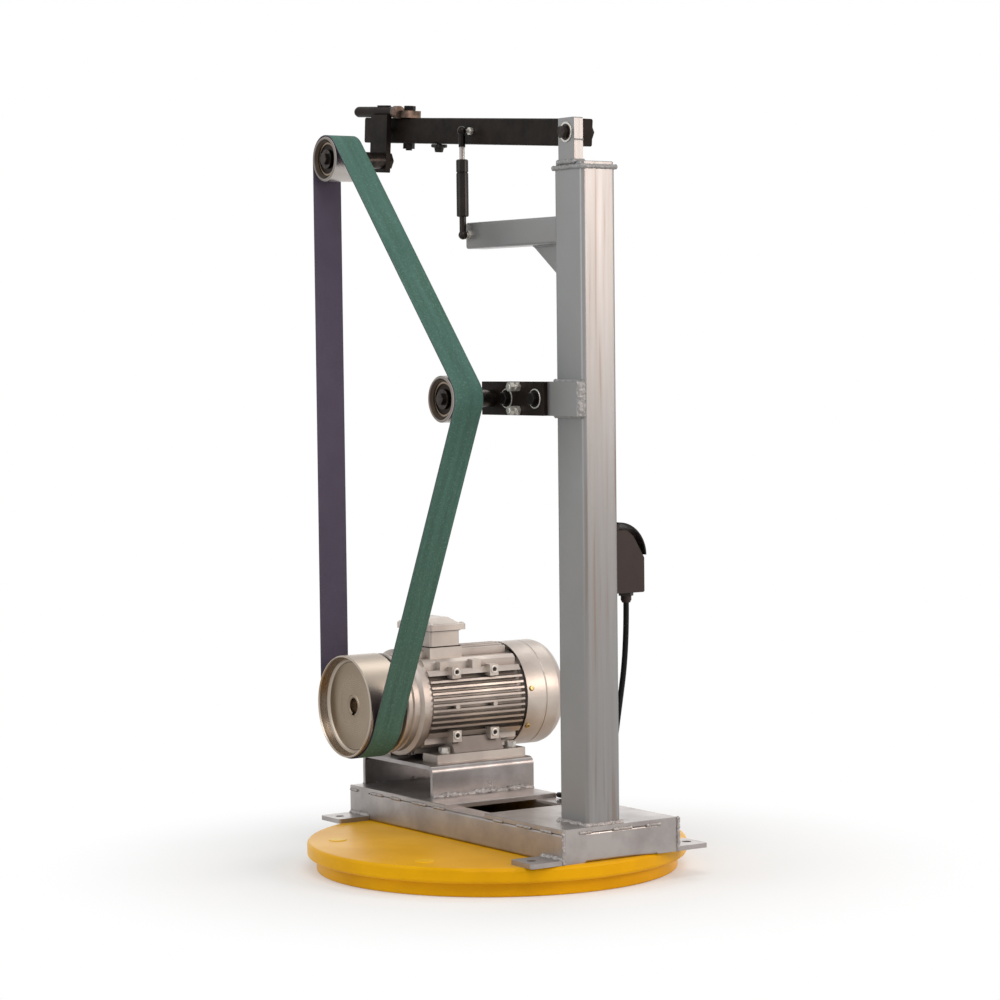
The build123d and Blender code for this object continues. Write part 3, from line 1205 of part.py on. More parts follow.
def bend_radii(points):
    """Tangent arc at each inner point that leaves a tenth of the shorter run straight."""
    radii = []
    for before, here, after in zip(points, points[1:], points[2:]):
        come = Vector(*here) - Vector(*before)
        go = Vector(*after) - Vector(*here)
        turn = math.radians(come.get_angle(go))
        radii.append(0.45 * min(come.length, go.length) / math.tan(turn / 2))
    return radii


lead_path = FilletPolyline(*lead_points, radius=bend_radii(lead_points))
lead_start = Plane(origin=lead_points[0], z_dir=(0, 0, -1))
save("motor_lead", sweep(lead_start * Circle(LEAD_R), path=lead_path))
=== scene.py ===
"""Finishes, welds, belt and lead of an upright belt sander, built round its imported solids."""

import json
import math
from contextlib import contextmanager

import bpy
from bpy.props import FloatProperty, FloatVectorProperty, PointerProperty
from mathutils import Matrix, Vector


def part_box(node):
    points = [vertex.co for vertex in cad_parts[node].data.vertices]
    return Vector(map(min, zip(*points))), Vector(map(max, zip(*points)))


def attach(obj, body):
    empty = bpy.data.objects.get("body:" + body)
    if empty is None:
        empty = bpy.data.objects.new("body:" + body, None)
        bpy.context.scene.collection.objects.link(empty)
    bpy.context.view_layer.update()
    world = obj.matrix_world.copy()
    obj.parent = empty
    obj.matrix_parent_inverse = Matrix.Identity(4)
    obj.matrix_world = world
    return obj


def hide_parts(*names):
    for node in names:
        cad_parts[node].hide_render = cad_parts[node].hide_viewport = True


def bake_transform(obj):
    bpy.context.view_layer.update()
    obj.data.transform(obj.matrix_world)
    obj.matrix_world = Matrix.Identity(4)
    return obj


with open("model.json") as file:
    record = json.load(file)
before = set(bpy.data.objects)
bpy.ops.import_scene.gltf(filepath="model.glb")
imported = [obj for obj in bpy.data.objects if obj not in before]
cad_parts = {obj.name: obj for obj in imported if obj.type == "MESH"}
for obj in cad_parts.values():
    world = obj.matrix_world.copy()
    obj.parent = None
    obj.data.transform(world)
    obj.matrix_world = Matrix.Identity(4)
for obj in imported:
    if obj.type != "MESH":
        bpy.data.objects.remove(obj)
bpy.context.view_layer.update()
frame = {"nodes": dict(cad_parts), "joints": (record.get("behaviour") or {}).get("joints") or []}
# A point on each joint's axis, in metres.
AXLES = {joint["name"]: Vector(joint["pos_m"]) for joint in frame["joints"] if "pos_m" in joint}

bl_info = {
    "name": "Belt sander finish",
    "version": (1, 0, 0),
    "blender": (4, 5, 0),
    "location": "View3D > Sidebar > Sander",
    "description": "Dresses the solids of an upright belt sander and adds its welds, belt, lead and studio",
    "category": "Object",
}

# Widths of beads as shares of a full fillet.
SEAM_SHARE = 0.4
STITCH_SHARE = 0.6
CORNER_SHARE = 0.7
TUBE_SHARE = 0.8
RISER_SHARE = 1.5

# Edges that turn by more than this stay sharp.
SMOOTH_ANGLE = math.radians(40)
# Turn of one strip of the belt's mesh round a wheel.
ARC_STEP = math.radians(6)

# Tints by radius in mm: painted shade in the throats of the small rims and a painted highlight on their outer
# edge, black seals in bright races, painted shade on the dished drive web.
RIM_SHADE_AND_HIGHLIGHT = ((0, "4a423b"), (30.0, "5c534b"), (31.2, "bfbbb8"), (34.0, "bfbbb8"), (34.6, "ffffff"))
SEAL_ZONES = ((0, "3a332e"), (22.8, "3a332e"), (23.6, "d8cec4"), (26, "d8cec4"))
DRIVE_WEB_SHADE = ((0, "d6cec2"), (66, "d6cec2"), (72, "ffffff"))
# Radius in mm that these tints are measured out over.
ZONE_SPAN = 100

# Points that the lead is drawn towards, in mm, from the switch to the motor.
LEAD_ROUTE = (
    (252, 43.6, 414), (252, 43.6, 344), (252, 26.6, 244), (246, 16.6, 160), (226, 25.6, 113), (165, 52, 100),
    (85, 82, 100), (4, 84, 97), (-9, 122, 89), (-36, 127, 52), (-110, 127, 49), (-195, 126, 53),
    (-276, 131, 94), (-322, 108, 174), (-338, 55, 259), (-316, 8, 332), (-257, 8, 332),
)

# Place, width and height in metres, and linear tint of each lamp; the stage's settings hold its watts.
LAMPS = {
    "window": ((2.35, 1.5, 1.32), 1.5, 1.0, (1.0, 0.84, 0.74)),
    "room": ((1.7, -1.0, 2.9), 1.8, 1.8, (1.0, 0.98, 0.96)),
    "front": ((-0.6, -3.0, 1.7), 2.2, 2.2, (0.95, 0.98, 1.0)),
    "top": ((-0.6, 1.35, 2.4), 1.0, 1.0, (1.0, 0.98, 0.95)),
    "wall": ((-3.0, 2.1, 0.75), 2.6, 1.3, (1.0, 0.98, 0.96)),
}


def linear(code):
    """Linear colour of an sRGB hex value."""
    parts = [int(code[i:i + 2], 16) / 255 for i in (0, 2, 4)]
    return tuple(p / 12.92 if p <= 0.04045 else ((p + 0.055) / 1.055) ** 2.4 for p in parts)


def colour_value(title, about, code):
    """Colour setting with an sRGB hex default."""
    return FloatVectorProperty(name=title, description=about, subtype="COLOR", size=3, min=0, max=1,
                               default=linear(code))


def length_value(title, about, millimetres):
    """Length setting with a default in millimetres."""
    return FloatProperty(name=title, description=about, subtype="DISTANCE", unit="LENGTH", min=0,
                         default=millimetres / 1000)


def angle_value(title, about, degrees):
    """Angle setting with a default in degrees."""
    return FloatProperty(name=title, description=about, subtype="ANGLE", default=math.radians(degrees))


def power_value(title, about, watts):
    """Lamp setting with a default in watts."""
    return FloatProperty(name=title, description=about, subtype="POWER", min=0, default=watts)


class SanderPaint(bpy.types.PropertyGroup):
    """Colours of the painted pieces."""

    yellow: colour_value("Yellow", "Clean enamel of the floor stand", "eaae00")
    ochre: colour_value("Ochre", "Enamel where it is rubbed", "da9e00")
    plug: colour_value("Plug yellow", "Plugs in the floor stand", "e8be1c")
    silver: colour_value("Silver", "Lacquer of the base and riser", "a6a09d")
    silver_shade: colour_value("Silver shade", "The same lacquer in its thin patches", "8f8987")
    grey: colour_value("Grey", "Lacquer of the column and its brackets", "8d8d8e")
    grey_shade: colour_value("Grey shade", "The same lacquer along its streaks", "82807e")
    black: colour_value("Black", "Paint of the arm and plates", "201814")
    black_shade: colour_value("Black shade", "The same paint where it is thick", "110c09")


class SanderMetal(bpy.types.PropertyGroup):
    """Colours of the bare metals and mouldings."""

    steel: colour_value("Turned steel", "Drive wheel, shaft and bearings", "b0a497")
    rim: colour_value("Polished rim", "Idler and contact wheels", "bcb6b1")
    cast: colour_value("Cast aluminium", "Motor housing under its thin paint", "c0b7af")
    cast_shade: colour_value("Casting shade", "Motor housing in its dull patches", "aca29b")
    zinc: colour_value("Zinc plate", "Bolts and studs", "d2cec7")
    oxide: colour_value("Black oxide", "Blackened bolts", "1d1917")
    moulding: colour_value("Black moulding", "Switch box, glands and fan", "271c19")
    sheath: colour_value("Lead sheath", "Lead between switch and motor", "0b0a0a")


class SanderBelt(bpy.types.PropertyGroup):
    """Sizes and colours of the belt."""

    grit: colour_value("Grit", "Working side of the belt", "5b8177")
    grit_shade: colour_value("Worn grit", "Working side where it is loaded", "3f5a4e")
    backing: colour_value("Backing", "Cloth side of the belt", "564f60")
    width: length_value("Width", "Width of the belt", 50)
    thickness: length_value("Thickness", "Cloth and grit together", 1.5)
    gap: length_value("Gap", "Room between belt and wheel", 0.7)
    drive: length_value("Drive radius", "Radius of the drive wheel", 80)
    small: length_value("Small radius", "Radius of the idler and contact wheels", 35)
    step: length_value("Step", "Length of one strip of the mesh on a straight run", 12)


class SanderWeld(bpy.types.PropertyGroup):
    """Sizes of the weld beads."""

    width: length_value("Width", "Width of a fillet bead", 8.5)
    pitch: length_value("Ripple", "Length of one ripple", 4.6)
    grain: length_value("Grain", "Size of the faces of a finished bead", 1.2)
    stitch: length_value("Stitch", "Length of a stitch on the deck plates", 27)
    spacing: length_value("Spacing", "Distance from stitch to stitch", 61)


class SanderLead(bpy.types.PropertyGroup):
    """Sizes of the lead."""

    diameter: length_value("Diameter", "Outside of the sheath", 8.5)
    length: length_value("Length", "From gland to gland", 1182)


class SanderStage(bpy.types.PropertyGroup):
    """Camera and light."""

    lens: FloatProperty(name="Lens", description="Focal length in millimetres", subtype="DISTANCE_CAMERA",
                        default=108.92, min=1)
    azimuth: angle_value("Azimuth", "Turn of the camera round the sander", 55.86)
    pitch: angle_value("Pitch", "Height of the camera as an angle", 2.81)
    roll: angle_value("Roll", "Turn of the picture", -0.61)
    distance: length_value("Distance", "From the camera to its target", 4641.07)
    aside: FloatProperty(name="Aside", description="Target's place along the picture", subtype="DISTANCE",
                         unit="LENGTH", default=-0.00689)
    height: length_value("Height", "Target's height over the floor", 558.13)
    window: power_value("Window", "Watts of the window beside the column", 31)
    room: power_value("Room", "Watts of the light behind the camera", 36)
    front: power_value("Front", "Watts of the light on the belt side", 24)
    top: power_value("Top", "Watts of the overhead light", 8)
    wall: power_value("Wall", "Watts of the bright wall behind", 8)
    air: FloatProperty(name="Air", description="Strength of the air as a light", default=0.42, min=0)


def add_node(tree, kind, values=None, links=None, **settings):
    """Add one shader node with its settings, socket values and links."""
    node = tree.nodes.new(kind)
    for field, value in settings.items():
        setattr(node, field, value)
    for socket, value in (values or {}).items():
        node.inputs[socket].default_value = value
    for socket, source in (links or {}).items():
        tree.links.new(source, node.inputs[socket])
    return node


def per_mm(size):
    """Noise scale for features of this size in millimetres."""
    return 1000 / size


def wave_mm(pitch):
    """Wave scale for lines this many millimetres apart."""
    return math.pi / 10 * 1000 / pitch


def toned(tint, factor, lift=0.0):
    """A tint made darker or paler."""
    return [min(1, part * factor + lift) for part in tint]


def blank_material(name, metallic=0.0, roughness=0.5):
    """New material with its shader and the piece's own coordinates."""
    material = bpy.data.materials.new(name)
    material.use_nodes = True
    tree = material.node_tree
    shader = tree.nodes["Principled BSDF"]
    shader.inputs["Metallic"].default_value = metallic
    shader.inputs["Roughness"].default_value = roughness
    place = add_node(tree, "ShaderNodeTexCoord").outputs["Object"]
    return material, tree, shader, place


def connect(tree, shader, colour, bump, gloss=None):
    """Link a finish's colour, relief and, where it varies, gloss to its shader."""
    tree.links.new(colour.outputs[2], shader.inputs["Base Color"])
    tree.links.new(bump.outputs["Normal"], shader.inputs["Normal"])
    if gloss:
        tree.links.new(gloss.outputs["Result"], shader.inputs["Roughness"])


def facing(tree, axis):
    """How squarely a face looks along one axis of its piece."""
    normal = add_node(tree, "ShaderNodeTexCoord").outputs["Normal"]
    return add_node(tree, "ShaderNodeSeparateXYZ", links={0: normal}).outputs[axis]


def from_axle(tree, place, axle):
    """Distance in metres from an axle that lies along Y."""
    about = add_node(tree, "ShaderNodeMapping", {"Location": (-axle.x, 0, -axle.z), "Scale": (1, 0, 1)},
                     {"Vector": place})
    away = add_node(tree, "ShaderNodeVectorMath", links={0: about.outputs["Vector"]}, operation="LENGTH")
    return away.outputs["Value"]


def sprayed_lacquer(name, tint, shade, patch, stretch=(1, 1, 1), metallic=0.0, roughness=0.45, peel=5.0,
                    index=1.5, rubs=0.0):
    """Lacquer sprayed on steel: soft patches, uneven gloss, orange-peel skin and, if asked, narrow rubs."""
    material, tree, shader, place = blank_material(name, metallic)
    shader.inputs["IOR"].default_value = index
    drawn = add_node(tree, "ShaderNodeMapping", {"Scale": stretch}, {"Vector": place}).outputs["Vector"]
    patches = add_node(tree, "ShaderNodeTexNoise", {"Scale": per_mm(patch), "Detail": 5.0, "Roughness": 0.6},
                       {"Vector": drawn}).outputs["Fac"]
    spread = add_node(tree, "ShaderNodeMapRange", {"From Min": 0.36, "From Max": 0.66}, {"Value": patches})
    colour = add_node(tree, "ShaderNodeMix", {6: (*tint, 1), 7: (*shade, 1)}, {0: spread.outputs["Result"]},
                      data_type="RGBA")
    if rubs:
        marks = add_node(tree, "ShaderNodeTexNoise", {"Scale": per_mm(rubs), "Detail": 1.0},
                         {"Vector": drawn})
        mark = add_node(tree, "ShaderNodeMapRange", {"From Min": 0.6, "From Max": 0.68, "To Max": 0.5},
                        {"Value": marks.outputs["Fac"]})
        sides = add_node(tree, "ShaderNodeMath", links={0: facing(tree, "X")}, operation="ABSOLUTE")
        rubbed = add_node(tree, "ShaderNodeMath",
                          links={0: mark.outputs["Result"], 1: sides.outputs["Value"]},
                          operation="MULTIPLY")
        colour = add_node(tree, "ShaderNodeMix", {7: (*linear("7d6a5f"), 1)},
                          {0: rubbed.outputs["Value"], 6: colour.outputs[2]}, data_type="RGBA")
    gloss = add_node(tree, "ShaderNodeMapRange", {"To Min": roughness - 0.08, "To Max": roughness + 0.1},
                     {"Value": patches})
    skin = add_node(tree, "ShaderNodeTexNoise", {"Scale": per_mm(peel), "Detail": 2.0}, {"Vector": place})
    bump = add_node(tree, "ShaderNodeBump", {"Strength": 0.06, "Distance": 0.0003},
                    {"Height": skin.outputs["Fac"]})
    connect(tree, shader, colour, bump, gloss)
    return material


def turned_steel(name, tint, axle, pitch=2.4, roughness=0.28, zones=()):
    """Steel turned on a lathe: rings about the axle, lines round the rim, and zones of tint by radius."""
    # Real turning marks are about 0.3 mm apart; they are drawn coarser so that they show.
    material, tree, shader, place = blank_material(name, 1.0)
    about = add_node(tree, "ShaderNodeMapping", {"Location": -axle}, {"Vector": place}).outputs["Vector"]
    rings = add_node(tree, "ShaderNodeTexWave", {"Scale": wave_mm(pitch), "Distortion": 0.6, "Detail": 2.0},
                     {"Vector": about}, wave_type="RINGS", rings_direction="Y")
    lines = add_node(tree, "ShaderNodeTexWave", {"Scale": wave_mm(pitch), "Distortion": 0.4, "Detail": 2.0},
                     {"Vector": about}, wave_type="BANDS", bands_direction="Y")
    marks = add_node(tree, "ShaderNodeMath", links={0: rings.outputs["Fac"], 1: lines.outputs["Fac"]},
                     operation="MULTIPLY").outputs["Value"]
    colour = add_node(tree, "ShaderNodeMix", {6: (*toned(tint, 0.84), 1), 7: (*tint, 1)}, {0: marks},
                      data_type="RGBA")
    # Tints by radius: on the wheels they paint shade and highlight, on the bearings they are the black seals.
    if zones:
        reach = add_node(tree, "ShaderNodeMapRange", {"From Max": ZONE_SPAN / 1000},
                         {"Value": from_axle(tree, place, axle)})
        ramp = add_node(tree, "ShaderNodeValToRGB", links={"Fac": reach.outputs["Result"]})
        stops = ramp.color_ramp.elements
        stops.remove(stops[1])
        stops[0].color = (*linear(zones[0][1]), 1)
        for edge, code in zones[1:]:
            stops.new(edge / ZONE_SPAN).color = (*linear(code), 1)
        colour = add_node(tree, "ShaderNodeMix", {0: 1.0}, {6: colour.outputs[2], 7: ramp.outputs["Color"]},
                          data_type="RGBA", blend_type="MULTIPLY")
    gloss = add_node(tree, "ShaderNodeMapRange", {"To Min": roughness + 0.08, "To Max": roughness - 0.05},
                     {"Value": marks})
    bump = add_node(tree, "ShaderNodeBump", {"Strength": 0.06, "Distance": 0.0002}, {"Height": marks})
    fan = add_node(tree, "ShaderNodeTangent", direction_type="RADIAL", axis="Y")
    shader.inputs["Anisotropic"].default_value = 0.7
    tree.links.new(fan.outputs["Tangent"], shader.inputs["Tangent"])
    connect(tree, shader, colour, bump, gloss)
    return material


def grained_metal(name, tint, shade, grain, cloud, metallic=1.0, roughness=0.35, painted_gap_shade=None, dust_and_top_shade=False,
                  chrome=None):
    """Cast or plated metal: grain and clouds; options paint shade between ribs and on upward faces, and add a
    bright chrome length.
    """
    # The grain of a casting or a plated bolt is finer than 1 mm; it is drawn coarser so that it shows.
    material, tree, shader, place = blank_material(name, metallic)
    clouds = add_node(tree, "ShaderNodeTexNoise", {"Scale": per_mm(cloud), "Detail": 4.0},
                      {"Vector": place}).outputs["Fac"]
    spread = add_node(tree, "ShaderNodeMapRange", {"From Min": 0.38, "From Max": 0.64}, {"Value": clouds})
    colour = add_node(tree, "ShaderNodeMix", {6: (*tint, 1), 7: (*shade, 1)}, {0: spread.outputs["Result"]},
                      data_type="RGBA")
    # Painted shade between the ribs, darkest at their feet.
    if painted_gap_shade:
        axle, floor, rim = painted_gap_shade
        depth = add_node(tree, "ShaderNodeMapRange", {"From Min": rim, "From Max": floor, "To Max": 0.36},
                         {"Value": from_axle(tree, place, axle)})
        colour = add_node(tree, "ShaderNodeMix", {7: (*linear("2e2621"), 1)},
                          {0: depth.outputs["Result"], 6: colour.outputs[2]}, data_type="RGBA")
    if chrome:
        low, high = chrome
        height = add_node(tree, "ShaderNodeSeparateXYZ", links={0: place}).outputs["Z"]
        bare = add_node(tree, "ShaderNodeMath", {1: (low + high) / 2, 2: (high - low) / 2}, {0: height},
                        operation="COMPARE")
        colour = add_node(tree, "ShaderNodeMix", {7: (*linear("8a8682"), 1)},
                          {0: bare.outputs["Value"], 6: colour.outputs[2]}, data_type="RGBA")
    # Painted shade on every face that looks upwards.
    if dust_and_top_shade:
        top_shade = add_node(tree, "ShaderNodeMapRange", {"From Min": 0.12, "From Max": 0.3, "To Max": 0.75},
                         {"Value": facing(tree, "Z")})
        colour = add_node(tree, "ShaderNodeMix", {7: (*linear("4d4541"), 1)},
                          {0: top_shade.outputs["Result"], 6: colour.outputs[2]}, data_type="RGBA")
    gloss = add_node(tree, "ShaderNodeMapRange", {"To Min": roughness - 0.06, "To Max": roughness + 0.1},
                     {"Value": clouds})
    skin = add_node(tree, "ShaderNodeTexVoronoi", {"Scale": per_mm(grain)}, {"Vector": place})
    bump = add_node(tree, "ShaderNodeBump", {"Strength": 0.15, "Distance": 0.0004},
                    {"Height": skin.outputs["Distance"]})
    connect(tree, shader, colour, bump, gloss)
    return material


def moulded_plastic(name, tint, grain=1.6, roughness=0.5, index=1.45):
    """Plastic moulded in a spark-eroded tool: an even fine grain with a dull sheen."""
    # The grain of the tool is about 0.2 mm; it is drawn coarser so that it shows.
    material, tree, shader, place = blank_material(name, 0.0)
    shader.inputs["IOR"].default_value = index
    grains = add_node(tree, "ShaderNodeTexNoise", {"Scale": per_mm(grain), "Detail": 3.0}, {"Vector": place})
    wear = add_node(tree, "ShaderNodeTexNoise", {"Scale": per_mm(26), "Detail": 4.0},
                    {"Vector": place}).outputs["Fac"]
    colour = add_node(tree, "ShaderNodeMix", {6: (*tint, 1), 7: (*toned(tint, 1.5, 0.006), 1)}, {0: wear},
                      data_type="RGBA")
    gloss = add_node(tree, "ShaderNodeMapRange", {"To Min": roughness - 0.1, "To Max": roughness + 0.12},
                     {"Value": wear})
    bump = add_node(tree, "ShaderNodeBump", {"Strength": 0.12, "Distance": 0.0003},
                    {"Height": grains.outputs["Fac"]})
    connect(tree, shader, colour, bump, gloss)
    return material


def abrasive_grit(name, tint, shade, splice):
    """Zirconia grit on cloth: dull grains, loaded streaks along the run and the slanting splice."""
    # A grain is about 0.4 mm; it is drawn coarser so that it shows.
    material, tree, shader, place = blank_material(name, 0.0, 0.68)
    shader.inputs["IOR"].default_value = 1.2
    along = add_node(tree, "ShaderNodeUVMap", uv_map="run").outputs["UV"]
    across_and_along = add_node(tree, "ShaderNodeSeparateXYZ", links={0: along}).outputs
    streaked = add_node(tree, "ShaderNodeMapping", {"Scale": (1, 0.05, 1)}, {"Vector": along})
    streaks = add_node(tree, "ShaderNodeTexNoise", {"Scale": per_mm(9), "Detail": 4.0},
                       {"Vector": streaked.outputs["Vector"]})
    worn = add_node(tree, "ShaderNodeMix", {6: (*tint, 1), 7: (*shade, 1)}, {0: streaks.outputs["Fac"]},
                    data_type="RGBA")
    dust_and_top_shade = add_node(tree, "ShaderNodeTexNoise", {"Scale": per_mm(3.5), "Detail": 6.0, "Roughness": 0.75},
                    {"Vector": place})
    speck = add_node(tree, "ShaderNodeMapRange", {"From Min": 0.52, "From Max": 0.72, "To Max": 0.55},
                     {"Value": dust_and_top_shade.outputs["Fac"]})
    dusty = add_node(tree, "ShaderNodeMix", {7: (*toned(tint, 1.5, 0.03), 1)},
                     {0: speck.outputs["Result"], 6: worn.outputs[2]}, data_type="RGBA")
    seam_slant, seam_half = 0.55, 0.0013
    slant = add_node(tree, "ShaderNodeMath", {1: seam_slant}, {0: across_and_along["X"]},
                     operation="MULTIPLY")
    reach = add_node(tree, "ShaderNodeMath", links={0: across_and_along["Y"], 1: slant.outputs["Value"]},
                     operation="SUBTRACT")
    near = add_node(tree, "ShaderNodeMath", {1: splice, 2: seam_half}, {0: reach.outputs["Value"]},
                    operation="COMPARE")
    colour = add_node(tree, "ShaderNodeMix", {7: (*toned(shade, 0.75), 1)},
                      {0: near.outputs["Value"], 6: dusty.outputs[2]}, data_type="RGBA")
    grains = add_node(tree, "ShaderNodeTexVoronoi", {"Scale": per_mm(1.5)}, {"Vector": place})
    bump = add_node(tree, "ShaderNodeBump", {"Strength": 0.35, "Distance": 0.0006},
                    {"Height": grains.outputs["Distance"]})
    connect(tree, shader, colour, bump)
    return material


def belt_cloth(name, tint):
    """Cotton twill backing, resin filled: slanting ribs and a dull, faintly marked surface."""
    # Twill ribs are about 0.8 mm apart; they are drawn coarser so that they show.
    material, tree, shader, place = blank_material(name, 0.0, 0.78)
    shader.inputs["IOR"].default_value = 1.25
    along = add_node(tree, "ShaderNodeUVMap", uv_map="run").outputs["UV"]
    turned = add_node(tree, "ShaderNodeMapping", {"Rotation": (0, 0, math.radians(38))}, {"Vector": along})
    ribs = add_node(tree, "ShaderNodeTexWave", {"Scale": wave_mm(2.2), "Distortion": 0.8, "Detail": 1.0},
                    {"Vector": turned.outputs["Vector"]}, wave_type="BANDS",
                    bands_direction="X").outputs["Fac"]
    ribbed = add_node(tree, "ShaderNodeMix", {6: (*toned(tint, 0.8), 1), 7: (*toned(tint, 1.12), 1)},
                      {0: ribs}, data_type="RGBA")
    rubbed = add_node(tree, "ShaderNodeTexNoise", {"Scale": per_mm(34), "Detail": 5.0}, {"Vector": place})
    colour = add_node(tree, "ShaderNodeMix", {7: (*toned(tint, 0.7), 1)},
                      {0: rubbed.outputs["Fac"], 6: ribbed.outputs[2]}, data_type="RGBA")
    bump = add_node(tree, "ShaderNodeBump", {"Strength": 0.2, "Distance": 0.0003}, {"Height": ribs})
    connect(tree, shader, colour, bump)
    return material


def stacked_steel(name, tint, pitch):
    """Punched sheet pressed into a stack, or wire laid in a winding: fine lines one above another."""
    # Sheets are about 0.5 mm thick and the wire about 1 mm; both are drawn coarser so that they show.
    material, tree, shader, place = blank_material(name, 0.9, 0.45)
    lines = add_node(tree, "ShaderNodeTexWave", {"Scale": wave_mm(pitch), "Distortion": 0.5},
                     {"Vector": place}, wave_type="BANDS", bands_direction="Y").outputs["Fac"]
    colour = add_node(tree, "ShaderNodeMix", {6: (*toned(tint, 0.55), 1), 7: (*tint, 1)}, {0: lines},
                      data_type="RGBA")
    bump = add_node(tree, "ShaderNodeBump", {"Strength": 0.3, "Distance": 0.0004}, {"Height": lines})
    connect(tree, shader, colour, bump)
    return material


def rod_length():
    """Heights between which the gas spring's rod is bare."""
    hidden, bare = 0.002, 0.021
    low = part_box("strut_cylinder")[1].z - hidden
    return low, low + bare


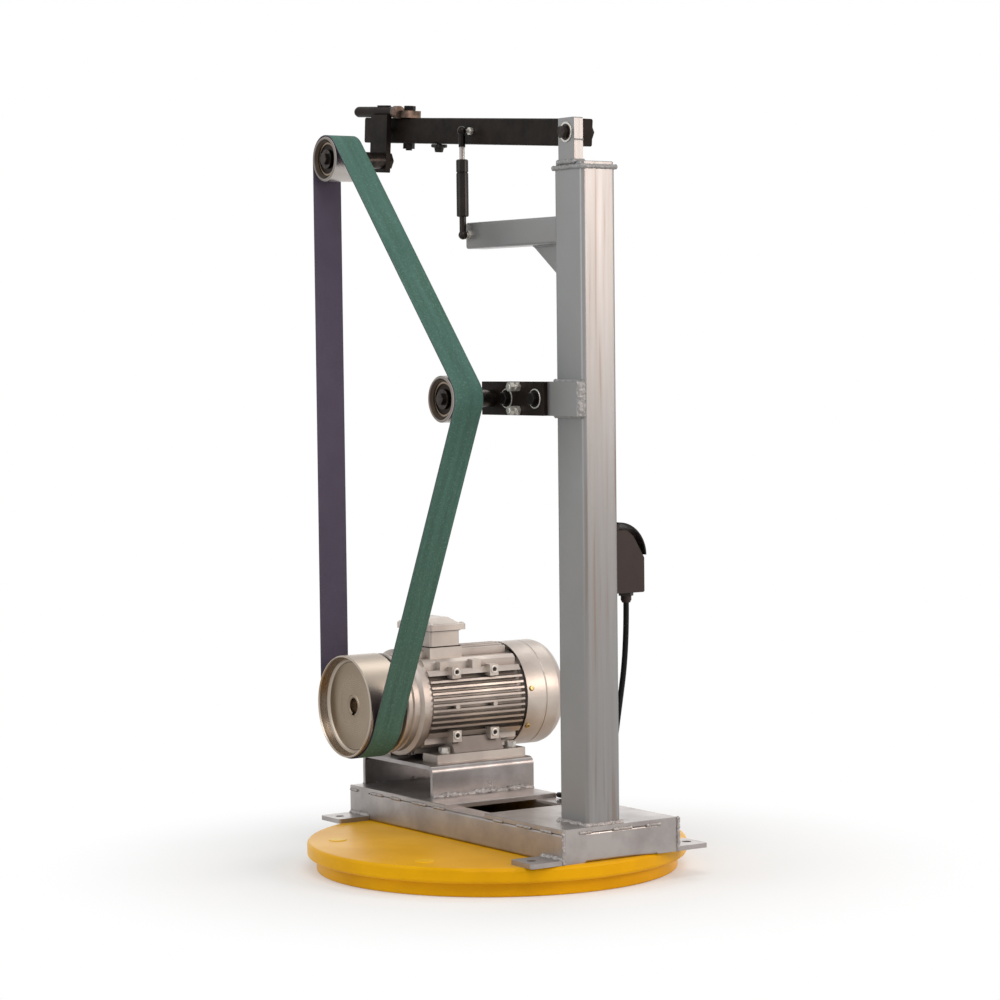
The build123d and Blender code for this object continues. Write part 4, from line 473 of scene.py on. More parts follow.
def finish(name):
    """Material of that name, made the first time it is asked for."""
    found = bpy.data.materials.get(name)
    if found:
        return found
    paint = bpy.context.scene.sander_paint
    metal = bpy.context.scene.sander_metal
    belt = bpy.context.scene.sander_belt
    silver, grey = (paint.silver, paint.silver_shade), (paint.grey, paint.grey_shade)
    black, cast = (paint.black, paint.black_shade), (metal.cast, metal.cast_shade)
    oxide = metal.oxide, toned(metal.oxide, 0.6)
    casting = {"grain": 2.4, "cloud": 70, "metallic": 0.65, "roughness": 0.4}
    rib_foot, rib_top = 0.073, 0.081
    contact, idler, rotor = (AXLES[joint] for joint in ("contact_spin", "idler_spin", "rotor_spin"))
    makers = {
        # Hard even gloss, a shade deeper where feet and boxes have rubbed it.
        "yellow_enamel_sprayed": lambda: sprayed_lacquer(
            name, paint.yellow, paint.ochre, patch=160, roughness=0.36, peel=7, index=1.2),
        # Fresher and duller than the disc round it, so that the plugs read as put in later.
        "plug_enamel_sprayed": lambda: sprayed_lacquer(
            name, paint.plug, paint.yellow, patch=20, roughness=0.4, index=1.3),
        # Aluminium flake in clear lacquer: a soft metal sheen that clouds over in hand-sized patches.
        "silver_lacquer_sprayed": lambda: sprayed_lacquer(
            name, *silver, patch=55, metallic=0.8, roughness=0.35, peel=16),
        # The same lacquer over ripples: small broken glints in place of a sheen.
        "silver_lacquer_on_weld": lambda: sprayed_lacquer(
            name, *silver, patch=6, metallic=0.6, roughness=0.5, peel=2),
        # Grey lacquer over ripples, dull beside the smooth tube.
        "grey_lacquer_on_weld": lambda: sprayed_lacquer(
            name, *grey, patch=6, metallic=0.5, roughness=0.5, peel=2),
        # Drawn steel shows as long streaks, with narrow brown rubs on the sides that look along the base.
        "grey_lacquer_on_drawn_tube": lambda: sprayed_lacquer(
            name, *grey, patch=14, stretch=(0.03, 1, 0.03), metallic=0.7, roughness=0.36, rubs=7),
        # Brushed flat black that swallows light, browner where it is thin.
        "black_paint_on_bar": lambda: sprayed_lacquer(name, *black, patch=24, roughness=0.46, index=1.18),
        # Rolled plate under lacquer: a darker, brighter-edged sheen that waves slowly.
        "silver_lacquer_on_bent_plate": lambda: sprayed_lacquer(
            name, linear("999493"), linear("847f7d"), patch=38, metallic=0.85, roughness=0.3, peel=60),
        # Oven-hard black: one narrow highlight down the cylinder.
        "black_enamel_baked": lambda: sprayed_lacquer(name, *black, patch=30, roughness=0.26, index=1.3),
        # Lathe rings that draw the light into a fan; shade is painted in the throat of the wheel and a
        # highlight on its outer edge.
        "contact_steel_turned": lambda: turned_steel(name, metal.rim, contact, zones=RIM_SHADE_AND_HIGHLIGHT),
        "idler_steel_turned": lambda: turned_steel(name, metal.rim, idler, zones=RIM_SHADE_AND_HIGHLIGHT),
        # Ground races either side of a black seal.
        "contact_bearing_sealed": lambda: turned_steel(name, metal.steel, contact, zones=SEAL_ZONES),
        "idler_bearing_sealed": lambda: turned_steel(name, metal.steel, idler, zones=SEAL_ZONES),
        # Coarser rings on the big wheel, with shade painted on its dished web inside the rim.
        "drive_steel_turned": lambda: turned_steel(
            name, metal.steel, rotor, pitch=3.2, roughness=0.24, zones=DRIVE_WEB_SHADE),
        # Fine rings and a close highlight, as a bearing seat is left.
        "shaft_steel_ground": lambda: turned_steel(name, metal.steel, rotor, pitch=1.6, roughness=0.3),
        # Bare forging gone brown, its gloss patchy where hands and tools touch it.
        "steel_forged_worn": lambda: grained_metal(
            name, linear("6a584e"), linear("40352e"), grain=3, cloud=12, metallic=0.7, roughness=0.45),
        # Sand-cast grain under thin silver paint: pale, a little rough, cloudy.
        "aluminium_cast_painted": lambda: grained_metal(name, *cast, **casting),
        # The same casting with shade painted between its ribs, darkest at their feet.
        "aluminium_cast_ribbed": lambda: grained_metal(
            name, *cast, **casting, painted_gap_shade=(rotor, rib_foot, rib_top)),
        # The same casting with shade painted on whatever faces up.
        "aluminium_cast_dusty": lambda: grained_metal(name, *cast, **casting, dust_and_top_shade=True),
        # Blue-black heat colour with a satin glint on each flat.
        "axle_steel_blued": lambda: grained_metal(
            name, linear("3c3530"), linear("262120"), grain=3, cloud=7, metallic=0.85, roughness=0.34),
        # Bright and slightly milky, so that each bolt stands out from paint.
        "steel_zinc_plated": lambda: grained_metal(
            name, metal.zinc, toned(metal.zinc, 0.8), grain=3, cloud=8, metallic=0.7, roughness=0.3),
        # Oiled black with only a faint metal edge.
        "steel_black_oxide": lambda: grained_metal(
            name, *oxide, grain=3, cloud=9, metallic=0.8, roughness=0.42),
        # Black end fitting, and a short polished length of rod that runs into the cylinder.
        "steel_chromed_and_blacked": lambda: grained_metal(
            name, *oxide, grain=3, cloud=9, metallic=0.9, roughness=0.28, chrome=rod_length()),
        # Warm yellow glint of small turned screws.
        "brass_turned": lambda: grained_metal(
            name, linear("c9b482"), linear("a08a56"), grain=3, cloud=5, roughness=0.3),
        # Spark-eroded grain: a dull brown-black that never quite shines.
        "black_moulding": lambda: moulded_plastic(name, metal.moulding, index=1.33),
        # Blacker and smoother than the box under it, so that the hood draws a dark curve.
        "black_hood_moulded": lambda: moulded_plastic(name, linear("0e0c0b"), roughness=0.42, index=1.3),
        # Harder and darker, with a soft highlight along the grip.
        "phenolic_moulded": lambda: moulded_plastic(
            name, linear("120d0b"), grain=2, roughness=0.38, index=1.3),
        # Rubbery black with one long soft highlight.
        "pvc_extruded": lambda: moulded_plastic(name, metal.sheath, grain=4, roughness=0.44, index=1.22),
        # Dead black sheet: a painted line of shadow between two pale castings.
        "rubber_sheet_cut": lambda: moulded_plastic(
            name, linear("2a2320"), grain=2, roughness=0.7, index=1.2),
        # Bright caps that tell start from stop at a glance.
        "green_moulding": lambda: moulded_plastic(name, linear("1f7a3f"), grain=2, roughness=0.34),
        "red_moulding": lambda: moulded_plastic(name, linear("b3261e"), grain=2, roughness=0.34),
        # Flat pale ink, without the gloss of the cap under it.
        "white_ink_printed": lambda: moulded_plastic(name, linear("e4e0da"), grain=2, roughness=0.6),
        # Fine lines round the core, dark in every gap.
        "core_steel_punched": lambda: stacked_steel(name, linear("7d7974"), pitch=1.6),
        # Lacquered wire in rows, a red-brown sheen on each turn.
        "copper_wound": lambda: stacked_steel(name, linear("b06a3c"), pitch=2.0),
        # Dull green grains with streaks of dust along the run.
        "belt_grit_coated": lambda: abrasive_grit(name, belt.grit, belt.grit_shade, belt_route(belt)[2]),
        # Slanting ribs of violet-grey twill, quite without gloss.
        "belt_cotton_woven": lambda: belt_cloth(name, belt.backing),
    }
    return makers[name]()


def dress(material, *nodes):
    """Give solids their finish."""
    for node in nodes:
        for slot in frame["nodes"][node].material_slots:
            slot.material = finish(material)


def deselect():
    """Leave nothing selected, so that an operator acts on the new piece alone."""
    bpy.ops.object.select_all(action="DESELECT")


def only(piece):
    """Select one piece and make it the active one."""
    deselect()
    piece.select_set(True)
    bpy.context.view_layer.objects.active = piece


@contextmanager
def editing():
    """Edit mode with the whole mesh selected, for as long as the block lasts."""
    bpy.ops.object.mode_set(mode="EDIT")
    bpy.ops.mesh.select_all(action="SELECT")
    yield
    bpy.ops.object.mode_set(mode="OBJECT")


def pick_faces(piece, test):
    """In edit mode, select just the faces that pass the test."""
    bpy.ops.mesh.select_mode(type="FACE")
    bpy.ops.mesh.select_all(action="DESELECT")
    bpy.ops.object.mode_set(mode="OBJECT")
    for face in piece.data.polygons:
        face.select = test(face)
    bpy.ops.object.mode_set(mode="EDIT")


def reshape(piece, kind, **settings):
    """Put the result of one modifier into the mesh."""
    only(piece)
    change = piece.modifiers.new(kind.lower(), kind)
    for field, value in settings.items():
        setattr(change, field, value)
    bpy.ops.object.modifier_apply(modifier=change.name)


def stood(piece, place, axis):
    """A piece made along Z, turned onto axis and moved to place, with both put into the mesh."""
    piece.rotation_mode = "QUATERNION"
    piece.rotation_quaternion = Vector((0, 0, 1)).rotation_difference(Vector(axis))
    piece.location = place
    only(piece)
    bpy.ops.object.transform_apply(location=True, rotation=True)
    return piece


def settle(piece, name, body, material):
    """Put the place into the mesh, then name, finish and hang the piece on its body."""
    only(piece)
    bpy.ops.object.transform_apply(location=True, rotation=True, scale=True)
    bpy.ops.object.shade_smooth_by_angle(angle=SMOOTH_ANGLE)
    piece.name = name
    piece.data.name = name
    piece.data.materials.clear()
    piece.data.materials.append(finish(material))
    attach(piece, body)


def joined(pieces):
    """One object of several."""
    only(pieces[0])
    for piece in pieces[1:]:
        piece.select_set(True)
    if len(pieces) > 1:
        bpy.ops.object.join()
    return pieces[0]


def bead(start, end, width, seed):
    """Overlapping drops from one point to the other, as a welder lays them."""
    weld = bpy.context.scene.sander_weld
    start, end = Vector(start), Vector(end)
    count = max(2, round((end - start).length / weld.pitch) + 1)
    unevenness = 0.19
    deselect()
    bpy.ops.mesh.primitive_uv_sphere_add(segments=12, ring_count=8, radius=width / 2, location=start)
    drop = bpy.context.object
    reshape(drop, "ARRAY", count=count, use_relative_offset=False, use_constant_offset=True,
            constant_offset_displace=(end - start) / (count - 1))
    with editing():
        bpy.ops.transform.vertex_random(offset=width * unevenness, uniform=1.0, normal=0.0, seed=seed)
    return drop


def weld_beads(name, runs, paint):
    """Beads along several runs, melted together and painted silver or grey."""
    piece = joined([bead(*run, seed) for seed, run in enumerate(runs)])
    reshape(piece, "REMESH", mode="VOXEL", voxel_size=bpy.context.scene.sander_weld.grain)
    reshape(piece, "SMOOTH", factor=0.4, iterations=1)
    settle(piece, name, "stand", f"{paint}_lacquer_on_weld")


def stitches(start, end, width):
    """Short runs between two points, each a little longer or shorter than the last."""
    weld = bpy.context.scene.sander_weld
    start, end = Vector(start), Vector(end)
    along = (end - start).normalized()
    count = max(1, int(((end - start).length - weld.stitch) / weld.spacing) + 1)
    spare = (end - start).length - (count - 1) * weld.spacing - weld.stitch
    shortest, longer = 0.7, 0.15
    made = []
    for number in range(count):
        first = start + along * (spare / 2 + number * weld.spacing)
        last = first + along * weld.stitch * (shortest + longer * (number * 3 % 5))
        made.append((first, last, width))
    return made


def closed_runs(corners, width):
    """Runs from corner to corner and back to the first."""
    return [(corner, corners[(i + 1) % len(corners)], width) for i, corner in enumerate(corners)]


def ring_of_runs(lo, hi, z, width):
    """Four runs round an upright square."""
    return closed_runs([(lo.x, lo.y, z), (hi.x, lo.y, z), (hi.x, hi.y, z), (lo.x, hi.y, z)], width)


def cylinder(radius, height, sides, **options):
    """Cylinder that stands on the origin."""
    deselect()
    bpy.ops.mesh.primitive_cylinder_add(vertices=sides, radius=radius, depth=height,
                                        location=(0, 0, height / 2), **options)
    bpy.ops.object.transform_apply(location=True)
    return bpy.context.object


def screw_head(place, axis, radius, height):
    """Pan head with a round recess, its seat at place and its top along axis."""
    rounding, rim, depth = height * 0.35, radius * 0.3, height * 0.5
    head = cylinder(radius, height, sides=24)
    with editing():
        pick_faces(head, lambda face: face.normal.z > 0.9)
        bpy.ops.mesh.bevel(offset=rounding, segments=3, affect="EDGES")
        pick_faces(head, lambda face: face.normal.z > 0.99 and face.area > radius * radius)
        bpy.ops.mesh.inset(thickness=rim)
        bpy.ops.mesh.extrude_region_move(TRANSFORM_OT_translate={"value": (0, 0, -depth)})
    return stood(head, place, axis)


def plain_washer(place, axis, inner, outer, height):
    """Stamped ring standing on place along axis, its edges broken."""
    edge = min(height, outer - inner) * 0.22
    ring = cylinder(outer, height, sides=48, end_fill_type="NOTHING")
    reshape(ring, "SOLIDIFY", thickness=outer - inner, offset=-1)
    reshape(ring, "BEVEL", width=edge, segments=2)
    return stood(ring, place, axis)


def shadow_frame(lo, hi, height):
    """Dark frame that paints a line of shadow between two castings, a little proud of their walls."""
    proud, width, thickness, edge = 0.0008, 0.003, 0.0024, 0.0003
    deselect()
    bpy.ops.mesh.primitive_cube_add(size=1, location=((lo.x + hi.x) / 2, (lo.y + hi.y) / 2, height))
    dark_frame = bpy.context.object
    dark_frame.scale = (hi.x - lo.x + 2 * proud, hi.y - lo.y + 2 * proud, thickness)
    bpy.ops.object.transform_apply(location=True, scale=True)
    with editing():
        pick_faces(dark_frame, lambda face: abs(face.normal.z) > 0.9)
        bpy.ops.mesh.inset(thickness=width)
        bpy.ops.mesh.bridge_edge_loops()
        bpy.ops.mesh.select_all(action="SELECT")
        bpy.ops.mesh.bevel(offset=edge, segments=2, affect="EDGES")
    return dark_frame


def thread(place, axis, radius, length, pitch):
    """Helical ridge of a screw thread from place along axis."""
    ridge_radius, steps = pitch * 0.42, 18
    deselect()
    bpy.ops.mesh.primitive_circle_add(vertices=3, radius=ridge_radius, location=(radius, 0, 0),
                                      rotation=(math.pi / 2, 0, 0))
    ridge = bpy.context.object
    bpy.ops.object.transform_apply(location=True, rotation=True)
    reshape(ridge, "SCREW", axis="Z", screw_offset=pitch, iterations=max(1, int(length / pitch)), steps=steps,
            render_steps=steps)
    with editing():
        bpy.ops.mesh.remove_doubles(threshold=0.00001)
        bpy.ops.mesh.fill_holes(sides=3)
        bpy.ops.mesh.select_all(action="SELECT")
        bpy.ops.mesh.normals_make_consistent(inside=False)
    return stood(ridge, place, axis)


def belt_route(belt):
    """Points of the belt's outer line in X and Z with their run lengths, and the splice's run length."""
    reach = belt.gap + belt.thickness
    wheels = [(AXLES["rotor_spin"], belt.drive + reach), (AXLES["contact_spin"], belt.small + reach),
              (AXLES["idler_spin"], belt.small + reach)]
    normals = []
    for i, (centre, radius) in enumerate(wheels):
        other, far = wheels[(i + 1) % len(wheels)]
        apart = Vector((other.x - centre.x, other.z - centre.z))
        lean = (radius - far) / apart.length
        side = Vector((apart.y, -apart.x)) / apart.length
        normals.append(apart / apart.length * lean + side * math.sqrt(1 - lean * lean))
    points = []
    for i, (centre, radius) in enumerate(wheels):
        first = math.atan2(normals[i - 1].y, normals[i - 1].x)
        turn = (math.atan2(normals[i].y, normals[i].x) - first) % (2 * math.pi)
        arc_steps = max(6, round(turn / ARC_STEP))
        for step in range(arc_steps + 1):
            angle = first + turn * step / arc_steps
            points.append((centre.x + radius * math.cos(angle), centre.z + radius * math.sin(angle)))
        other, far = wheels[(i + 1) % len(wheels)]
        leave = Vector(points[-1])
        land = Vector((other.x, other.z)) + normals[i] * far
        strips = round((land - leave).length / belt.step)
        points.extend(tuple(leave.lerp(land, step / strips)) for step in range(1, strips))
    runs = [0.0]
    for one, two in zip(points, points[1:] + points[:1]):
        runs.append(runs[-1] + math.dist(one, two))
    top, low = AXLES["idler_spin"], AXLES["rotor_spin"]
    beside = [i for i, p in enumerate(points) if p[0] < top.x and low.z < p[1] < top.z]
    return points, runs, runs[beside[len(beside) // 2]]


class SANDER_OT_floor_stand(bpy.types.Operator):
    """Enamel the disc and plinth and colour the plugs"""

    bl_idname = "sander.floor_stand"
    bl_label = "Floor stand"

    def execute(self, context):
        dress("yellow_enamel_sprayed", "floor_disc", "floor_plinth")
        dress("plug_enamel_sprayed", "disc_plugs")
        return {"FINISHED"}


class SANDER_OT_base_frame(bpy.types.Operator):
    """Lacquer the welded base and lay its stitches, foot beads and lug beads"""

    bl_idname = "sander.base_frame"
    bl_label = "Base frame"

    def execute(self, context):
        dress("silver_lacquer_sprayed", "rail_left", "long_rails", "rail_right", "motor_deck", "column_deck",
              "anchor_lugs")
        dress("silver_lacquer_on_bent_plate", "motor_riser")
        width = context.scene.sander_weld.width
        lug_width, end_gap, corner_gap = 0.056, 0.004, 0.002
        runs = []
        for node in ("motor_deck", "column_deck"):
            lo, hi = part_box(node)
            for y in (lo.y, hi.y):
                runs += stitches((lo.x, y, lo.z), (hi.x, y, lo.z), width * STITCH_SHARE)
        lo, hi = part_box("column_deck")
        runs += stitches((hi.x, lo.y, lo.z), (hi.x, hi.y, lo.z), width * STITCH_SHARE)
        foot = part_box("rail_right")[0].z + corner_gap
        for y in (lo.y, hi.y):
            runs.append(((hi.x, y, foot), (hi.x, y, hi.z - corner_gap), width * CORNER_SHARE))
        weld_beads("deck_stitches", runs, "silver")
        lug_lo, lug_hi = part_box("anchor_lugs")
        runs = [((x + end_gap, y, lug_hi.z), (x + lug_width - end_gap, y, lug_hi.z), width)
                for y in (lo.y, hi.y) for x in (lug_lo.x, lug_hi.x - lug_width)]
        weld_beads("lug_beads", runs, "silver")
        lo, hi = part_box("motor_riser")
        runs = []
        for x in (lo.x, hi.x):
            runs.append(((x, lo.y + end_gap, lo.z), (x, hi.y - end_gap, lo.z), width))
            runs += stitches((x, lo.y, lo.z), (x, hi.y, lo.z), width * RISER_SHARE)
        weld_beads("riser_bead", runs, "silver")
        return {"FINISHED"}


class SANDER_OT_column(bpy.types.Operator):
    """Lacquer the column and its brackets and lay their beads"""

    bl_idname = "sander.column"
    bl_label = "Column"

    def execute(self, context):
        dress("grey_lacquer_on_drawn_tube", "column_tube", "column_cap", "pivot_cheek", "spring_bracket",
              "bracket_gusset", "contact_bar")
        dress("axle_steel_blued", "pivot_bolt")
        width = context.scene.sander_weld.width
        lo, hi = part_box("column_tube")
        weld_beads("column_foot_bead", ring_of_runs(lo, hi, lo.z, width), "silver")
        weld_beads("column_cap_bead", ring_of_runs(lo, hi, hi.z, width * TUBE_SHARE), "grey")
        self.finish_pivot(width)
        self.weld_bracket(width)
        bar_lo, bar_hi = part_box("contact_bar")
        edge, lift, inset = 0.004, 0.003, 0.002
        runs = [((lo.x, bar_hi.y, z), (hi.x - edge, bar_hi.y, z), width * TUBE_SHARE)
                for z in (bar_lo.z, bar_hi.z)]
        for y in (bar_lo.y + edge, bar_lo.y + 2 * edge, bar_hi.y):
            foot = (bar_hi.x - inset, y, bar_lo.z + lift)
            runs.append((foot, (bar_hi.x - inset, y, bar_hi.z - lift), width))
        weld_beads("bar_beads", runs, "grey")
        return {"FINISHED"}

    def finish_pivot(self, width):
        """The pivot bolt's washer, and the beads of the cheek."""
        lo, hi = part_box("pivot_cheek")
        pivot = AXLES["arm_swing"]
        bore, outside, thickness = 0.0117, 0.0148, 0.0018
        washer = plain_washer((pivot.x, lo.y, pivot.z), (0, -1, 0), bore, outside, thickness)
        settle(washer, "pivot_washer", "stand", "steel_zinc_plated")
        seam, end_gap = pivot.z - 0.0115, 0.001
        runs = ring_of_runs(lo, hi, lo.z, width * TUBE_SHARE)
        runs.append(((hi.x, lo.y + end_gap, seam), (hi.x, hi.y - end_gap, seam), width * SEAM_SHARE))
        weld_beads("cheek_bead", runs, "grey")

    def weld_bracket(self, width):
        """Beads where the spring's bracket and its gusset meet the column and each other."""
        lo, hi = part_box("spring_bracket")
        corners = [(hi.x, lo.y, lo.z), (hi.x, hi.y, lo.z), (hi.x, hi.y, hi.z), (hi.x, lo.y, hi.z)]
        runs = closed_runs(corners, width * TUBE_SHARE)
        lo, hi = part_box("bracket_gusset")
        for y in (lo.y, hi.y):
            for start in ((hi.x, y, lo.z), (lo.x, y, hi.z)):
                runs.append((start, (hi.x, y, hi.z), width * CORNER_SHARE))
        weld_beads("bracket_beads", runs, "grey")


class SANDER_OT_contact_bracket(bpy.types.Operator):
    """Finish the contact wheel's plate, its bolts and jack screws"""

    bl_idname = "sander.contact_bracket"
    bl_label = "Contact bracket"

    def execute(self, context):
        dress("black_paint_on_bar", "contact_plate")
        dress("steel_black_oxide", "contact_plate_bolts")
        dress("steel_zinc_plated", "jack_screws")
        lo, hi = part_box("contact_plate_bolts")
        head = (hi.z - lo.z) / 2
        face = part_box("contact_plate")[0].y
        play, rim, thickness = 0.0001, 0.0021, 0.0016
        rings = [plain_washer((x, face, (lo.z + hi.z) / 2), (0, -1, 0), head + play, head + rim, thickness)
                 for x in (lo.x + head, hi.x - head)]
        settle(joined(rings), "plate_washers", "stand", "steel_zinc_plated")
        return {"FINISHED"}


class SANDER_OT_wheels(bpy.types.Operator):
    """Finish the three wheels with their bearings and axles"""

    bl_idname = "sander.wheels"
    bl_label = "Wheels"

    def execute(self, context):
        dress("contact_steel_turned", "contact_wheel")
        dress("contact_bearing_sealed", "contact_bearings")
        dress("idler_steel_turned", "idler_wheel")
        dress("idler_bearing_sealed", "idler_bearings")
        dress("drive_steel_turned", "drive_wheel")
        dress("shaft_steel_ground", "motor_shaft", "shaft_key")
        dress("axle_steel_blued", "contact_axle", "idler_axle")
        return {"FINISHED"}


class SANDER_OT_tension_arm(bpy.types.Operator):
    """Finish the arm, its tracking hinge, hanger, knob and screws, and cut the tracking screw's thread"""

    bl_idname = "sander.tension_arm"
    bl_label = "Tension arm"

    def execute(self, context):
        dress("black_paint_on_bar", "tension_arm", "hanger_plate", "hinge_barrel")
        dress("steel_forged_worn", "hinge_strap", "hinge_pin")
        dress("steel_black_oxide", "strap_bolt")
        dress("phenolic_moulded", "arm_knob")
        dress("steel_zinc_plated", "tracking_screw")
        lo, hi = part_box("tracking_screw")
        middle = (lo + hi) / 2
        gap, radius, length, pitch = 0.0015, 0.004, 0.007, 0.00125
        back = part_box("tension_arm")[1].y + gap
        ridge = thread((middle.x, back, middle.z), (0, 1, 0), radius, length, pitch)
        settle(ridge, "tracking_thread", "tracking", "steel_zinc_plated")
        return {"FINISHED"}


class SANDER_OT_gas_spring(bpy.types.Operator):
    """Finish the gas spring and its ball studs"""

    bl_idname = "sander.gas_spring"
    bl_label = "Gas spring"

    def execute(self, context):
        dress("black_enamel_baked", "strut_cylinder")
        dress("steel_chromed_and_blacked", "strut_rod")
        dress("steel_zinc_plated", "upper_ball_stud", "lower_ball_stud")
        return {"FINISHED"}


class SANDER_OT_motor(bpy.types.Operator):
    """Finish the motor inside and out, and add screws, foot rings and the painted shadow lines of its
    terminal box
    """

    bl_idname = "sander.motor"
    bl_label = "Motor"

    def execute(self, context):
        dress("aluminium_cast_painted", "front_end_shield", "rear_end_shield", "fan_cowl", "terminal_box",
              "terminal_lid")
        dress("aluminium_cast_dusty", "motor_feet")
        dress("aluminium_cast_ribbed", "motor_frame")
        dress("steel_zinc_plated", "motor_foot_bolts")
        dress("core_steel_punched", "rotor_core")
        dress("copper_wound", "stator")
        dress("shaft_steel_ground", "motor_bearings")
        dress("black_moulding", "cooling_fan")
        sunk = 0.0003
        self.screw_cowl(sunk)
        self.close_box(sunk)
        axle = AXLES["rotor_spin"]
        out, up, along = 0.082, 0.05, (-0.013, 0.058)
        bore, outside, thickness = 0.0037, 0.0064, 0.0012
        rings = [plain_washer((axle.x + side * out, y, axle.z + rise), (side, 0, 0), bore, outside, thickness)
                 for side in (-1, 1) for y in along for rise in (-up, up)]
        settle(joined(rings), "foot_pad_rings", "stand", "steel_zinc_plated")
        return {"FINISHED"}

    def screw_cowl(self, sunk):
        """Four brass screws round the open end of the cowl."""
        lo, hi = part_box("fan_cowl")
        cowl_radius = (hi.x - lo.x) / 2
        edge, radius, height = 0.008, 0.0042, 0.0028
        heads = []
        for angle in (-33, 10, 170, 213):
            turn = math.radians(angle)
            out = Vector((math.cos(turn), 0, math.sin(turn)))
            seat = AXLES["rotor_spin"] + out * (cowl_radius - sunk) + Vector((0, lo.y + edge, 0))
            heads.append(screw_head(seat, out, radius, height))
        settle(joined(heads), "cowl_screws", "stand", "brass_turned")

    def close_box(self, sunk):
        """Screws in the corners of the lid, and dark frames that paint shadow lines under and over the
        terminal box.
        """
        lo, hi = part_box("terminal_lid")
        box_lo, box_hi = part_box("terminal_box")
        rise, edge, radius, height = 0.01, 0.006, 0.0035, 0.0022
        seat = box_hi.z + rise - sunk
        heads = [screw_head((x, y, seat), (0, 0, 1), radius, height)
                 for x in (lo.x + edge, hi.x - edge) for y in (lo.y + edge, hi.y - edge)]
        settle(joined(heads), "lid_screws", "stand", "steel_zinc_plated")
        lap = 0.0006
        # Dark frames that paint shadow lines at the foot of the box and under its lid.
        dark_frames = [shadow_frame(box_lo, box_hi, z) for z in (box_lo.z + lap, box_hi.z - lap)]
        settle(joined(dark_frames), "box_gaskets", "stand", "rubber_sheet_cut")


class SANDER_OT_switch(bpy.types.Operator):
    """Finish the switch and raise a bar and a ring on its two buttons"""

    bl_idname = "sander.switch"
    bl_label = "Switch"

    def execute(self, context):
        dress("black_moulding", "switch_box", "lead_glands")
        dress("black_hood_moulded", "switch_flap")
        dress("green_moulding", "start_button")
        dress("red_moulding", "stop_button")
        lo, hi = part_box("start_button")
        proud, bar_size, bar_edge = 0.0001, (0.0016, 0.0006, 0.008), 0.0002
        deselect()
        bpy.ops.mesh.primitive_cube_add(size=1, location=((lo.x + hi.x) / 2, hi.y + proud, (lo.z + hi.z) / 2))
        bar = bpy.context.object
        bar.scale = bar_size
        bpy.ops.object.transform_apply(scale=True)
        with editing():
            bpy.ops.mesh.bevel(offset=bar_edge, segments=2, affect="EDGES")
        settle(bar, "start_mark", "start", "white_ink_printed")
        lo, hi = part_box("stop_button")
        out = -Vector(next(joint["axis"] for joint in frame["joints"] if joint["name"] == "stop_press"))
        top = max(vertex.co.dot(out) for vertex in frame["nodes"]["stop_button"].data.vertices)
        middle = (lo + hi) / 2
        ring_radius, wire_radius, sunk = 0.0034, 0.0007, 0.0002
        deselect()
        bpy.ops.mesh.primitive_torus_add(major_radius=ring_radius, minor_radius=wire_radius,
                                         major_segments=32, minor_segments=8)
        ring = stood(bpy.context.object, middle + out * (top - middle.dot(out) - sunk), out)
        settle(ring, "stop_mark", "stop", "white_ink_printed")
        return {"FINISHED"}


class SANDER_OT_belt(bpy.types.Operator):
    """Make the belt: grit outside, cloth inside, spliced, stretched over the three wheels"""

    bl_idname = "sander.belt"
    bl_label = "Belt"

    def execute(self, context):
        belt = context.scene.sander_belt
        points, runs = belt_route(belt)[:2]
        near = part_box("sanding_belt")[0].y
        strips, bend_gap = 4, 0.04
        across = (0, belt.width / strips, 0)
        deselect()
        bpy.ops.mesh.primitive_circle_add(vertices=len(points), radius=1)
        piece = bpy.context.object
        for vertex, (x, z) in zip(piece.data.vertices, points):
            vertex.co = (x, near, z)
        with editing():
            bpy.ops.mesh.select_mode(type="EDGE")
            for _ in range(strips):
                bpy.ops.mesh.extrude_region_move(TRANSFORM_OT_translate={"value": across})
            bpy.ops.mesh.select_all(action="SELECT")
            bpy.ops.mesh.normals_make_consistent(inside=False)
        first = piece.data.polygons[0]
        if first.normal.dot(first.center - AXLES["rotor_spin"].lerp(AXLES["idler_spin"], 0.5)) < 0:
            piece.data.flip_normals()
        self.unroll(piece.data, points, runs, near)
        piece.data.materials.clear()
        for material in ("belt_grit_coated", "belt_cotton_woven", "belt_cotton_woven"):
            piece.data.materials.append(finish(material))
        reshape(piece, "SOLIDIFY", thickness=belt.thickness, offset=-1, material_offset=1,
                material_offset_rim=2)
        bpy.ops.object.shade_smooth_by_angle(angle=SMOOTH_ANGLE)
        piece.name = "abrasive_belt"
        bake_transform(piece)
        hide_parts("sanding_belt")
        return {"FINISHED"}

    def unroll(self, mesh, points, runs, near):
        """Map the belt flat: across it in U and along its run in V, both in metres."""
        along = {(round(x, 5), round(z, 5)): run for (x, z), run in zip(points, runs)}
        layer = mesh.uv_layers.new(name="run")
        for face in mesh.polygons:
            places = [mesh.vertices[mesh.loops[i].vertex_index].co for i in face.loop_indices]
            lengths = [along[(round(p.x, 5), round(p.z, 5))] for p in places]
            for i, place, length in zip(face.loop_indices, places, lengths):
                if max(lengths) - length > runs[-1] / 2:
                    length += runs[-1]
                layer.data[i].uv = (place.y - near, length)


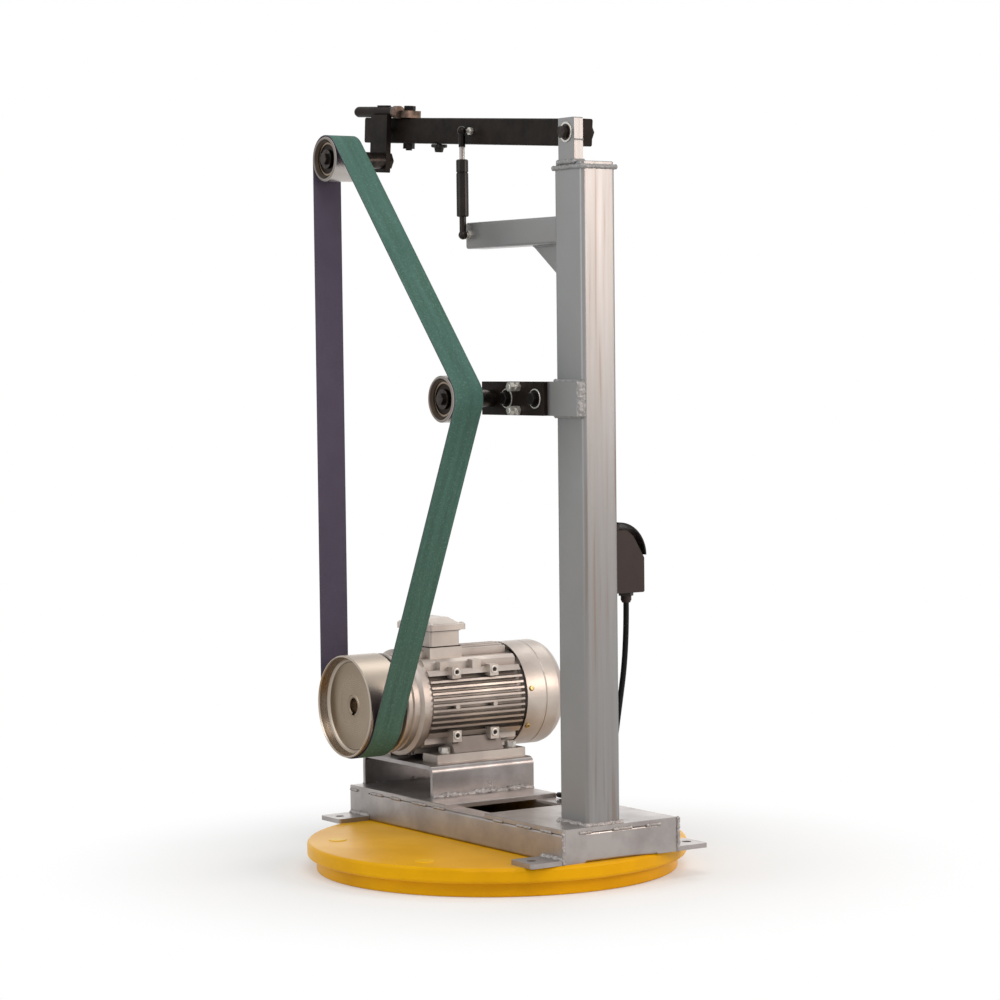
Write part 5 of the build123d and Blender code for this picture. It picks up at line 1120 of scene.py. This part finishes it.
class SANDER_OT_lead(bpy.types.Operator):
    """Run the lead from the switch's gland to the motor's"""

    bl_idname = "sander.lead"
    bl_label = "Lead"

    def execute(self, context):
        lead = context.scene.sander_lead
        route = [Vector(point) / 1000 for point in LEAD_ROUTE]
        curve = bpy.data.curves.new("switch_lead", "CURVE")
        curve.dimensions = "3D"
        spline = curve.splines.new("NURBS")
        spline.points.add(len(route) - 1)
        for point, place in zip(spline.points, route):
            point.co = (*place, 1)
        spline.order_u = 3
        spline.use_endpoint_u = True
        spline.resolution_u = 12
        curve.bevel_depth = lead.diameter / 2
        curve.bevel_resolution = 5
        curve.use_fill_caps = True
        curve.materials.append(finish("pvc_extruded"))
        piece = bpy.data.objects.new("switch_lead", curve)
        context.scene.collection.objects.link(piece)
        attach(piece, "stand")
        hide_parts("motor_lead")
        return {"FINISHED"}


def looked_at(tree):
    """One for a ray that shows the background to the camera, straight, in metal or through glass."""
    seen = add_node(tree, "ShaderNodeLightPath").outputs
    shown = seen["Is Camera Ray"]
    for kind in ("Is Glossy Ray", "Is Transmission Ray"):
        either = add_node(tree, "ShaderNodeMath", links={0: shown, 1: seen[kind]}, operation="MAXIMUM")
        shown = either.outputs["Value"]
    return shown


class SANDER_OT_stage(bpy.types.Operator):
    """Lay the floor, hang the lights and set the camera"""

    bl_idname = "sander.stage"
    bl_label = "Stage"

    def execute(self, context):
        scene = context.scene
        stage = scene.sander_stage
        scene.view_settings.view_transform = "Standard"
        self.lay_floor()
        world = bpy.data.worlds.new("studio_air")
        world.use_nodes = True
        air = world.node_tree
        strength = add_node(air, "ShaderNodeMapRange", {"To Min": stage.air, "To Max": 1.0},
                            {"Value": looked_at(air)})
        air.nodes["Background"].inputs["Color"].default_value = (*linear("ffffff"), 1)
        air.links.new(strength.outputs["Result"], air.nodes["Background"].inputs["Strength"])
        scene.world = world
        aim = Vector((0, 0, 0.6))
        for name, (place, width, height, tint) in LAMPS.items():
            lamp = bpy.data.lights.new(f"{name}_light", "AREA")
            lamp.shape = "RECTANGLE"
            lamp.size = width
            lamp.size_y = height
            lamp.energy = getattr(stage, name)
            lamp.color = tint
            hung = bpy.data.objects.new(f"{name}_light", lamp)
            hung.location = place
            hung.visible_camera = False
            hung.rotation_mode = "QUATERNION"
            hung.rotation_quaternion = (aim - Vector(place)).to_track_quat("-Z", "Y")
            scene.collection.objects.link(hung)
        self.set_camera(scene, stage)
        return {"FINISHED"}

    def lay_floor(self):
        """Pale floor that keeps the shadow under the machine and goes white where the shadow ends."""
        radius, drop, shadow_start, shadow_end, least_glow = 9, 0.0004, 0.28, 0.75, 0.3
        deselect()
        bpy.ops.mesh.primitive_circle_add(vertices=96, radius=radius, fill_type="NGON",
                                          location=(0, 0, -drop))
        floor = bpy.context.object
        floor.name = "studio_floor"
        # Matt paint: no sheen, so that nothing but the shadow shows on it.
        material, tree, shader, place = blank_material("studio_floor_matt", 0.0, 0.9)
        shader.inputs["Base Color"].default_value = (*linear("efefee"), 1)
        away = add_node(tree, "ShaderNodeVectorMath", links={0: place}, operation="LENGTH")
        far = add_node(tree, "ShaderNodeMapRange",
                       {"From Min": shadow_start, "From Max": shadow_end, "To Min": least_glow},
                       {"Value": away.outputs["Value"]}, interpolation_type="SMOOTHSTEP")
        share = add_node(tree, "ShaderNodeMath", links={0: looked_at(tree), 1: far.outputs["Result"]},
                         operation="MULTIPLY")
        glow = add_node(tree, "ShaderNodeEmission", {"Color": (*linear("ffffff"), 1), "Strength": 1.0})
        both = add_node(tree, "ShaderNodeMixShader",
                        links={0: share.outputs["Value"], 1: shader.outputs["BSDF"],
                               2: glow.outputs["Emission"]})
        tree.links.new(both.outputs["Shader"], tree.nodes["Material Output"].inputs["Surface"])
        floor.data.materials.append(material)

    def set_camera(self, scene, stage):
        """Camera where the photograph was taken from, with its lens and tilt."""
        back = Vector((math.sin(stage.azimuth) * math.cos(stage.pitch),
                       -math.cos(stage.azimuth) * math.cos(stage.pitch), math.sin(stage.pitch)))
        right = Vector((math.cos(stage.azimuth), math.sin(stage.azimuth), 0))
        up = back.cross(right)
        side = right * math.cos(stage.roll) + up * math.sin(stage.roll)
        head = up * math.cos(stage.roll) - right * math.sin(stage.roll)
        target = right * stage.aside + Vector((0, 0, stage.height))
        eye = bpy.data.cameras.new("photo_camera")
        eye.lens = stage.lens
        eye.sensor_width = 36
        eye.clip_end = 100
        camera = bpy.data.objects.new("photo_camera", eye)
        scene.collection.objects.link(camera)
        turn = Matrix((side, head, back)).transposed().to_4x4()
        camera.matrix_world = Matrix.Translation(target + back * stage.distance) @ turn
        scene.camera = camera


STEPS = (SANDER_OT_stage, SANDER_OT_lead, SANDER_OT_belt, SANDER_OT_floor_stand, SANDER_OT_base_frame,
         SANDER_OT_column, SANDER_OT_contact_bracket, SANDER_OT_wheels, SANDER_OT_tension_arm,
         SANDER_OT_gas_spring, SANDER_OT_motor, SANDER_OT_switch)
SETTINGS = {"sander_paint": SanderPaint, "sander_metal": SanderMetal, "sander_belt": SanderBelt,
            "sander_weld": SanderWeld, "sander_lead": SanderLead, "sander_stage": SanderStage}


class SANDER_PT_pieces(bpy.types.Panel):
    """Pieces of the sander and their settings"""

    bl_label = "Belt sander"
    bl_idname = "SANDER_PT_pieces"
    bl_space_type = "VIEW_3D"
    bl_region_type = "UI"
    bl_category = "Sander"

    def draw(self, context):
        column = self.layout.column(align=True)
        for step in STEPS:
            column.operator(step.bl_idname)
        for name, group in SETTINGS.items():
            box = self.layout.box()
            for field in group.__annotations__:
                box.prop(getattr(context.scene, name), field)


def register():
    for group in SETTINGS.values():
        bpy.utils.register_class(group)
    for name, group in SETTINGS.items():
        setattr(bpy.types.Scene, name, PointerProperty(type=group))
    for step in STEPS:
        bpy.utils.register_class(step)
    bpy.utils.register_class(SANDER_PT_pieces)


def unregister():
    bpy.utils.unregister_class(SANDER_PT_pieces)
    for step in reversed(STEPS):
        bpy.utils.unregister_class(step)
    for name in SETTINGS:
        delattr(bpy.types.Scene, name)
    for group in reversed(list(SETTINGS.values())):
        bpy.utils.unregister_class(group)


def main():
    register()
    bpy.ops.sander.stage()
    bpy.ops.sander.lead()
    bpy.ops.sander.belt()
    bpy.ops.sander.floor_stand()
    bpy.ops.sander.base_frame()
    bpy.ops.sander.column()
    bpy.ops.sander.contact_bracket()
    bpy.ops.sander.wheels()
    bpy.ops.sander.tension_arm()
    bpy.ops.sander.gas_spring()
    bpy.ops.sander.motor()
    bpy.ops.sander.switch()


if __name__ == "__main__":
    main()
